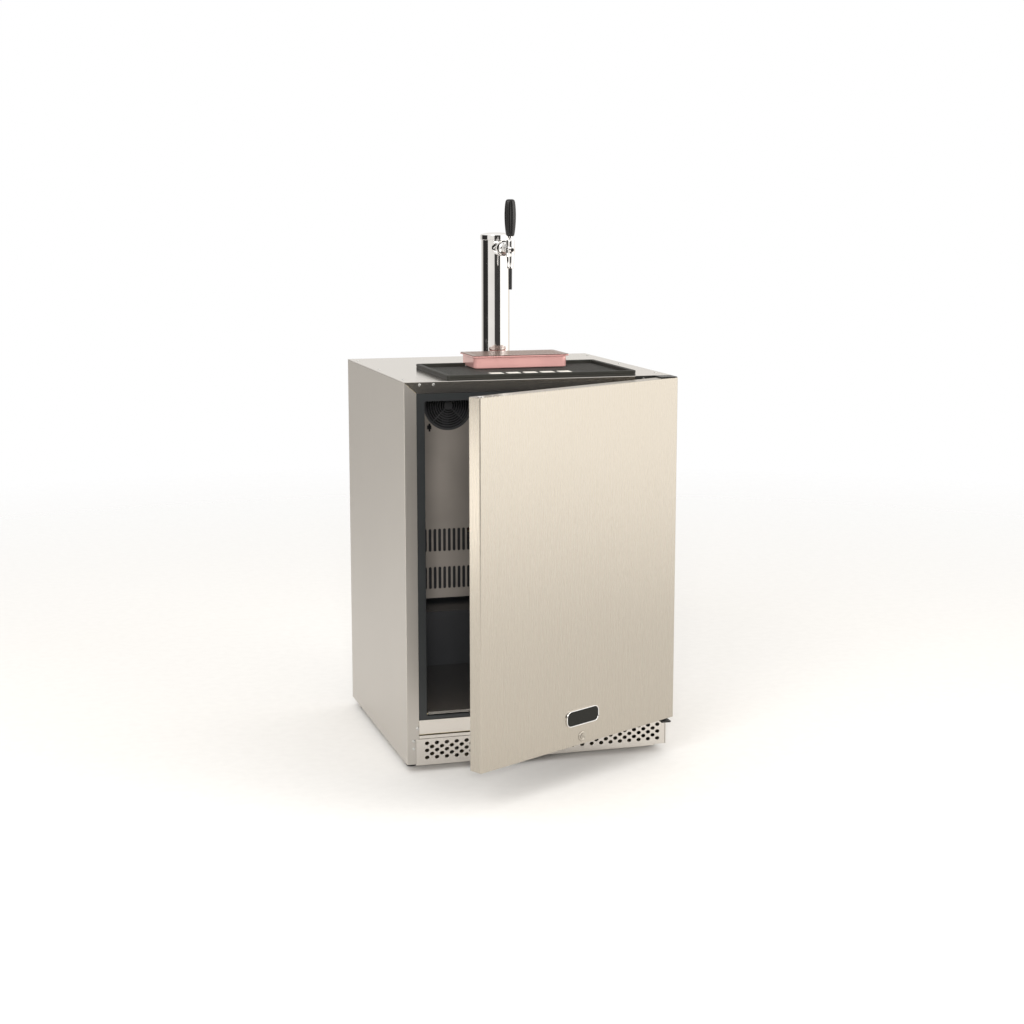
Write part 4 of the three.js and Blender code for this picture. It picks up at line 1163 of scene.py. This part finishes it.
def tower():
    """Polished column on a stepped flange, under a turned cap."""
    c = box("tower_column")
    x, y = centre(c, flat)
    r = (c.x1 - c.x0) / 2
    column = Shape().loft(
        [(circle(x, y, radius, 96), z) for radius, z in (
            (r - 1.8, c.z0), (r - 0.3, c.z0), (r, c.z0 + 0.4), (r, c.z1 - 0.4), (r - 0.3, c.z1),
            (r - 1.8, c.z1))],
        closed=True,
    )
    piece("tower_tube", column, M["chrome"], "cabinet", ["tower_column"])
    f = box("tower_flange")
    fr = (f.x1 - f.x0) / 2
    profile = [
        (21, f.z0), (fr - 0.6, f.z0), (fr, f.z0 + 0.6), (fr, f.z0 + 1.8), (fr - 1.2, f.z0 + 2.8),
        (r + 3.2, f.z0 + 3.4), (r + 1.6, f.z1), (21, f.z1),
    ]
    flange = Shape().loft([(circle(x, y, radius, 96), z) for radius, z in profile], closed=True)
    for k in range(4):
        angle = math.pi / 4 + k * math.pi / 2
        flange.screw(x + 38.5 * math.cos(angle), y + 38.5 * math.sin(angle), f.z0 + 2.9, 1, flat, 2.8)
    piece("tower_foot", flange, M["chrome"], "cabinet", ["tower_flange"])
    k = box("tower_cap")
    kr = (k.x1 - k.x0) / 2
    cap = Shape().turned([
        (0, k.z0), (kr - 4.6, k.z0), (kr - 4.6, k.z0 + 3), (kr - 0.5, k.z0 + 3), (kr, k.z0 + 3.5),
        (kr, k.z0 + 13), (kr - 0.4, k.z0 + 14.1), (kr - 1.4, k.z0 + 14.9), (kr - 3.4, k.z0 + 15.8),
        (kr - 8, k.z0 + 17.2), (kr - 14, k.z0 + 18.4), (kr - 22, k.z0 + 19.2), (kr - 30, k.z1 - 0.05),
        (0, k.z1),
    ], x, y, count=96)
    piece("tower_top", cap, M["chrome"], "cabinet", ["tower_cap"])


def faucet():
    """Chrome faucet: shank collar, spanner nut, body with its spout, bonnet and lever."""
    s = box("faucet_shank")
    cu, cv = centre(s, face)
    r = (s.x1 - s.x0) / 2
    rear = s.y1
    shank = Shape().loft([(circle(cu, cv, radius, 48), w) for radius, w in (
        (4.6, s.y0), (10.4, s.y0), (10.4, rear - 30), (r - 1.2, rear - 29.5), (r, rear - 28.3),
        (r, rear - 17), (10.4, rear - 16.5),
        (10.4, rear), (4.6, rear))], face, closed=True)
    piece("shank", shank, M["chrome"], "cabinet", ["faucet_shank"])
    n = box("coupling_nut")
    nr = (n.x1 - n.x0) / 2

    def slotted(radius, depth):
        points = []
        for i in range(72):
            notch = depth if i % 12 in (0, 1) else 0
            angle = 2 * math.pi * i / 72
            points.append((cu + (radius - notch) * math.cos(angle), cv + (radius - notch) * math.sin(angle)))
        return points

    nut = Shape().loft([
        (circle(cu, cv, 10.9, 72), n.y0 + 8.6), (circle(cu, cv, 14.6, 72), n.y0 + 8.6),
        (circle(cu, cv, 14.6, 72), n.y0), (slotted(nr - 1.2, 0), n.y0), (slotted(nr, 0), n.y0 + 1.2),
        (slotted(nr, 1.6), n.y0 + 3), (slotted(nr, 1.6), n.y1 - 5), (slotted(nr, 0), n.y1 - 4),
        (slotted(nr, 0), n.y1 - 1.2), (slotted(nr - 1.2, 0), n.y1), (circle(cu, cv, 10.9, 72), n.y1),
    ], face, closed=True)
    piece("spanner_nut", nut, M["chrome"], "cabinet", ["coupling_nut"])
    b = box("faucet_body")
    lever_y = Vector(JOINTS["tap_lever_tilt"]["pos_m"]).y / MM
    body = Shape()
    front = lever_y - 8
    body.turned([
        (0, front), (6, front), (8.8, front + 2), (10, front + 6), (10, front + 20), (8.6, front + 24),
        (8.2, front + 32), (8.8, front + 38), (9.6, front + 46), (10.2, front + 52), (13.4, front + 54),
        (14, front + 55), (14, b.y1), (0, b.y1),
    ], cu, cv, face, 48)
    body.turned([
        (0, cv + 4), (9.6, cv + 4), (10.2, cv + 3.4), (10.4, cv + 2), (10.4, cv - 8), (9.8, cv - 12),
        (8.8, cv - 15), (8.4, cv - 20), (8.3, cv - 26), (7.6, cv - 33), (6.9, cv - 38), (6.7, cv - 39),
        (7.3, cv - 39.6), (7.3, cv - 43), (6.6, cv - 43.8), (4.7, cv - 44.6), (3.9, cv - 45), (0, cv - 45),
    ], cu, lever_y, flat, 48)
    body.turned([
        (0, lever_y - 17), (3.8, lever_y - 17), (5.2, lever_y - 15.6), (5.6, lever_y - 13),
        (5.6, lever_y - 4), (0, lever_y - 4),
    ], cu, cv - 2, face, 32)
    body.turned(
        [(0, cv - 12), (2.2, cv - 12), (2.2, cv - 28), (1.6, cv - 30), (0, cv - 30)], cu, lever_y + 9.5,
        flat, 20,
    )
    piece("faucet_casting", body, M["chrome"], "cabinet", ["faucet_body"])
    nozzle = Shape().turned([
        (0, cv - 44), (4.2, cv - 44), (4.2, cv - 47), (4.1, cv - 70), (4.0, b.z0 + 1), (3.7, b.z0),
        (2.8, b.z0), (2.8, b.z0 + 12), (0, b.z0 + 12),
    ], cu, lever_y, flat, 48)
    piece("spout_nozzle", nozzle, M["fan_plastic"], "cabinet", slot=SLOT_OF["fan_guard"])
    k = box("lever_bonnet")
    low = k.z0
    bonnet = Shape().loft([(circle(cu, lever_y, radius, 48), z) for radius, z in (
        (7.9, low), (9.2, low), (9.6, low + 0.5), (9.6, low + 3.2), (9.0, low + 3.8), (9.0, low + 4.6),
        (9.6, low + 5.2), (9.6, low + 11.8),
        (9.3, low + 13.6), (8.8, low + 15.1), (8.4, low + 15.7), (7.9, low + 15.4))], closed=True)
    piece("bonnet_ring", bonnet, M["chrome"], "cabinet", ["lever_bonnet"])
    v = box("faucet_lever")
    pivot = JOINTS["tap_lever_tilt"]["pos_m"][2] / MM
    lever = Shape().turned([
        (0, v.z0), (1.8, v.z0 + 0.7), (2.6, v.z0 + 2.6), (1.8, v.z0 + 4.5), (1.1, v.z0 + 5.4),
        (1.1, pivot - 6), (4.6, pivot - 5.2), (6.6, pivot - 2.6), (7, pivot), (6.6, pivot + 2.4),
        (5.2, pivot + 4.6), (3.2, pivot + 6.2), (2.8, pivot + 7), (2.8, pivot + 11.6), (5.4, pivot + 12.3),
        (6.0, pivot + 13.0), (6.0, pivot + 15.6), (5.4, pivot + 16.2), (3.2, pivot + 16.2), (3.2, v.z1 - 1),
        (0, v.z1),
    ], cu, lever_y, count=40)
    piece("lever_stem", lever, M["chrome"], "lever", ["faucet_lever"])
    handle(cu, lever_y)


def handle(cu, cv):
    """Gloss black fluted handle."""
    b = box("tap_handle")
    height = b.z1 - b.z0
    half_u, half_v = halves(b, flat)
    shape = Shape()
    widths = [
        (0.0, 0.58), (0.012, 0.68), (0.05, 0.75), (0.12, 0.82), (0.22, 0.90), (0.35, 0.965), (0.5, 1.0),
        (0.62, 1.0), (0.74, 0.97), (0.84, 0.92), (0.92, 0.85), (0.96, 0.78), (0.985, 0.66), (1.0, 0.46),
    ]
    rings = []
    for t, width in widths:
        flute = 0.085 * max(0.0, math.sin(math.pi * t)) ** 0.5
        points = []
        for i in range(96):
            angle = 2 * math.pi * i / 96
            groove = 1 - flute * (0.5 + 0.5 * math.cos(8 * angle)) ** 3
            points.append((
                cu + half_u * width * groove * math.cos(angle),
                cv + half_v * width * groove * math.sin(angle),
            ))
        rings.append((points, b.z0 + t * height))
    shape.loft(rings)
    piece("handle_grip", shape, M["handle"], "lever", ["tap_handle"])


# ---------------------------------------------------------------- assembly

for node, sign in (("left_side_panel", -1), ("right_side_panel", 1)):
    side_panel(node, sign)
top_sheet()
kick_plate()
eased("lower_front_rail", "lower_rail", M["rail_steel"], 0.45)
rear_sheet()
rear_louvres()
cabinet_screws()
stile_plugs()
for corner in ("front_left", "front_right", "rear_left", "rear_right"):
    foot("foot_" + corner)
eased("base_pan", "base_tray", M["rail_steel"], 0.35)
eased("breaker_frame", "breaker_trim", M["black_plastic"], 1.0)
eased("inner_liner", "liner_shell", M["liner_plastic"], 0.6)
eased("keg_floor_plate", "keg_plate", M["rail_steel"], 0.5)
eased("evaporator_fan_motor", "evaporator_motor", M["black_plastic"], 0.8)
eased("condenser_fan_motor", "condenser_motor", M["black_plastic"], 0.8)
eased("probe_clip", "sensor_clip", M["fan_plastic"], 0.5)
eased("drain_pan", "drain_dish", M["black_plastic"], 0.5)
evaporator_cover()
fan_guard()
rotor("evaporator_fan_blade", "evaporator_rotor", M["fan_plastic"], face, 5, 15, 56)
rotor("condenser_fan_blade", "condenser_rotor", M["fan_plastic"], side, 4, 17, 66)
thermostat()
compressor()
condenser()
power_inlet()
gas_grommet()
hinges()
door_wrap()
door_inside()
badge()
lock()
bar_mat()
drip_tray()
drip_grille()
tower()
faucet()

PLAIN = {
    "foam_insulation": "foam", "evaporator": "fins", "suction_tube": "copper", "discharge_tube": "copper",
    "faucet_plunger": "brass",
}
for node, key in PLAIN.items():
    data = frame["nodes"][node].data
    data.materials.clear()
    data.materials.append(M[key])

# ---------------------------------------------------------------- floor, light and camera


def floor():
    """A pale disc that fades out well before its edge."""
    inner, outer = 1.6, 4.6
    shape = Shape().loft([(circle(0, 0, r / MM, 96), -0.6) for r in (0.01, inner, outer)], caps=(True, False))
    obj = bpy.data.objects.new("floor", plain_mesh("floor", shape))
    bpy.context.scene.collection.objects.link(obj)
    made = Finish("floor_paint", roughness=0.9)
    made.shader.inputs["Specular IOR Level"].default_value = 0.1
    speck = made.noise(40, 2)
    made.colour(made.ramp(speck, [(0.3, (0.81, 0.80, 0.785)), (0.7, (0.83, 0.82, 0.805))]))
    gradient = made.node("ShaderNodeTexGradient", gradient_type="SPHERICAL")
    made.links.new(made.place((1 / outer,) * 3), gradient.inputs["Vector"])
    fade = made.ramp(gradient.outputs["Fac"], [(0.02, 0.0), (1 - inner / outer, 1.0)])
    made.links.new(fade, made.shader.inputs["Alpha"])
    obj.data.materials.append(made.material)


def softbox(name, place, target, width, height, power, colour=(1, 1, 1)):
    data = bpy.data.lights.new(name, "AREA")
    data.shape = "RECTANGLE"
    data.size, data.size_y = width, height
    data.energy = power
    data.color = colour
    light = bpy.data.objects.new(name, data)
    light.location = place
    light.rotation_euler = (Vector(target) - Vector(place)).to_track_quat("-Z", "Y").to_euler()
    light.visible_camera = False
    bpy.context.scene.collection.objects.link(light)
    return light


def studio():
    """A white studio: bright overhead, with darker and lighter stands around it."""
    world = bpy.data.worlds.new("studio")
    bpy.context.scene.world = world
    world.use_nodes = True
    nodes, links = world.node_tree.nodes, world.node_tree.links
    background = nodes["Background"]
    place = nodes.new("ShaderNodeTexCoord")
    around = nodes.new("ShaderNodeTexGradient")
    around.gradient_type = "RADIAL"
    links.new(place.outputs["Generated"], around.inputs["Vector"])
    stands = nodes.new("ShaderNodeValToRGB")
    stands.color_ramp.interpolation = "EASE"
    stops = STUDIO_STOPS
    elements = stands.color_ramp.elements
    while len(elements) < len(stops):
        elements.new(0.5)
    for element, (at, level, warmth) in zip(elements, stops):
        element.position = at
        element.color = (level, level * (0.985 - 0.06 * warmth), level * (0.96 - 0.13 * warmth), 1)
    links.new(around.outputs["Fac"], stands.inputs["Fac"])
    split = nodes.new("ShaderNodeSeparateXYZ")
    links.new(place.outputs["Generated"], split.inputs["Vector"])
    height = nodes.new("ShaderNodeMapRange")
    height.interpolation_type = "SMOOTHSTEP"
    height.inputs["From Min"].default_value = 0.25
    height.inputs["From Max"].default_value = 0.8
    links.new(split.outputs["Z"], height.inputs["Value"])
    overhead = nodes.new("ShaderNodeMix")
    overhead.data_type = "RGBA"
    overhead.inputs[7].default_value = (1.15, 1.14, 1.12, 1)
    links.new(height.outputs["Result"], overhead.inputs[0])
    links.new(stands.outputs["Color"], overhead.inputs[6])
    seen = nodes.new("ShaderNodeLightPath")
    plain = nodes.new("ShaderNodeMix")
    plain.data_type = "RGBA"
    plain.inputs[7].default_value = (1, 1, 1, 1)
    links.new(seen.outputs["Is Camera Ray"], plain.inputs[0])
    links.new(overhead.outputs[2], plain.inputs[6])
    links.new(plain.outputs[2], background.inputs["Color"])
    background.inputs["Strength"].default_value = 1.0
    softbox("key", (-2.6, -3.2, 3.4), (0, -0.2, 0.6), 2.2, 2.2, 72, (1, 0.985, 0.96))
    softbox("fill", (3.2, -2.6, 2.0), (0, 0, 0.6), 1.6, 2.4, 24, (1, 0.97, 0.93))
    softbox("card", (-2.9, 0.45, 0.28), (-0.25, -0.5, 0.28), 1.8, 0.56, 8, (1, 0.97, 0.93))
    inside = softbox("inside", (-1.18, -3.96, 1.36), (-0.1, 0, 0.55), 0.5, 0.3, 84, (1, 0.97, 0.94))
    inside.visible_glossy = False


def turn_to_stop(degrees):
    """A heading in degrees, clockwise from the back (+Y), as a place on the radial gradient."""
    return ((90 - degrees) / 360 + 0.5) % 1.0


# what stands around, by heading in degrees clockwise from the back: brightness and warmth
STANDS = [
    (8, 0.9, 0.2), (35, 0.9, 0.3), (48, 0.8, 1.0), (80, 1.4, 0.7), (106, 1.95, 0.0), (126, 1.5, 0.2),
    (134, 1.5, 0.2), (153, 1.5, 0.0), (159, 0.05, 0.3), (201, 0.05, 0.3), (206, 0.9, 0.2), (257, 0.95, 0.2),
    (262, 0.03, 0.3), (314, 0.03, 0.3), (320, 0.5, 0.3), (330, 0.76, 0.3), (356, 0.76, 0.3),
]
STUDIO_STOPS = sorted((turn_to_stop(heading), level, warmth) for heading, level, warmth in STANDS)


def camera():
    """The photograph's viewing angle: left of the front, a little above the tap."""
    data = bpy.data.cameras.new("camera")
    data.sensor_width = 36
    data.lens = 65.714
    data.clip_end = 50
    obj = bpy.data.objects.new("camera", data)
    obj.location = (-1.18293, -3.96382, 1.2394)
    heading, dip = math.radians(16.3), math.radians(9.6)
    along = Vector((math.sin(heading) * math.cos(dip), math.cos(heading) * math.cos(dip), -math.sin(dip)))
    obj.rotation_euler = along.to_track_quat("-Z", "Y").to_euler()
    bpy.context.scene.collection.objects.link(obj)
    bpy.context.scene.camera = obj


floor()
studio()
camera()
bpy.context.scene.view_settings.view_transform = "Standard"

bpy.context.view_layer.update()
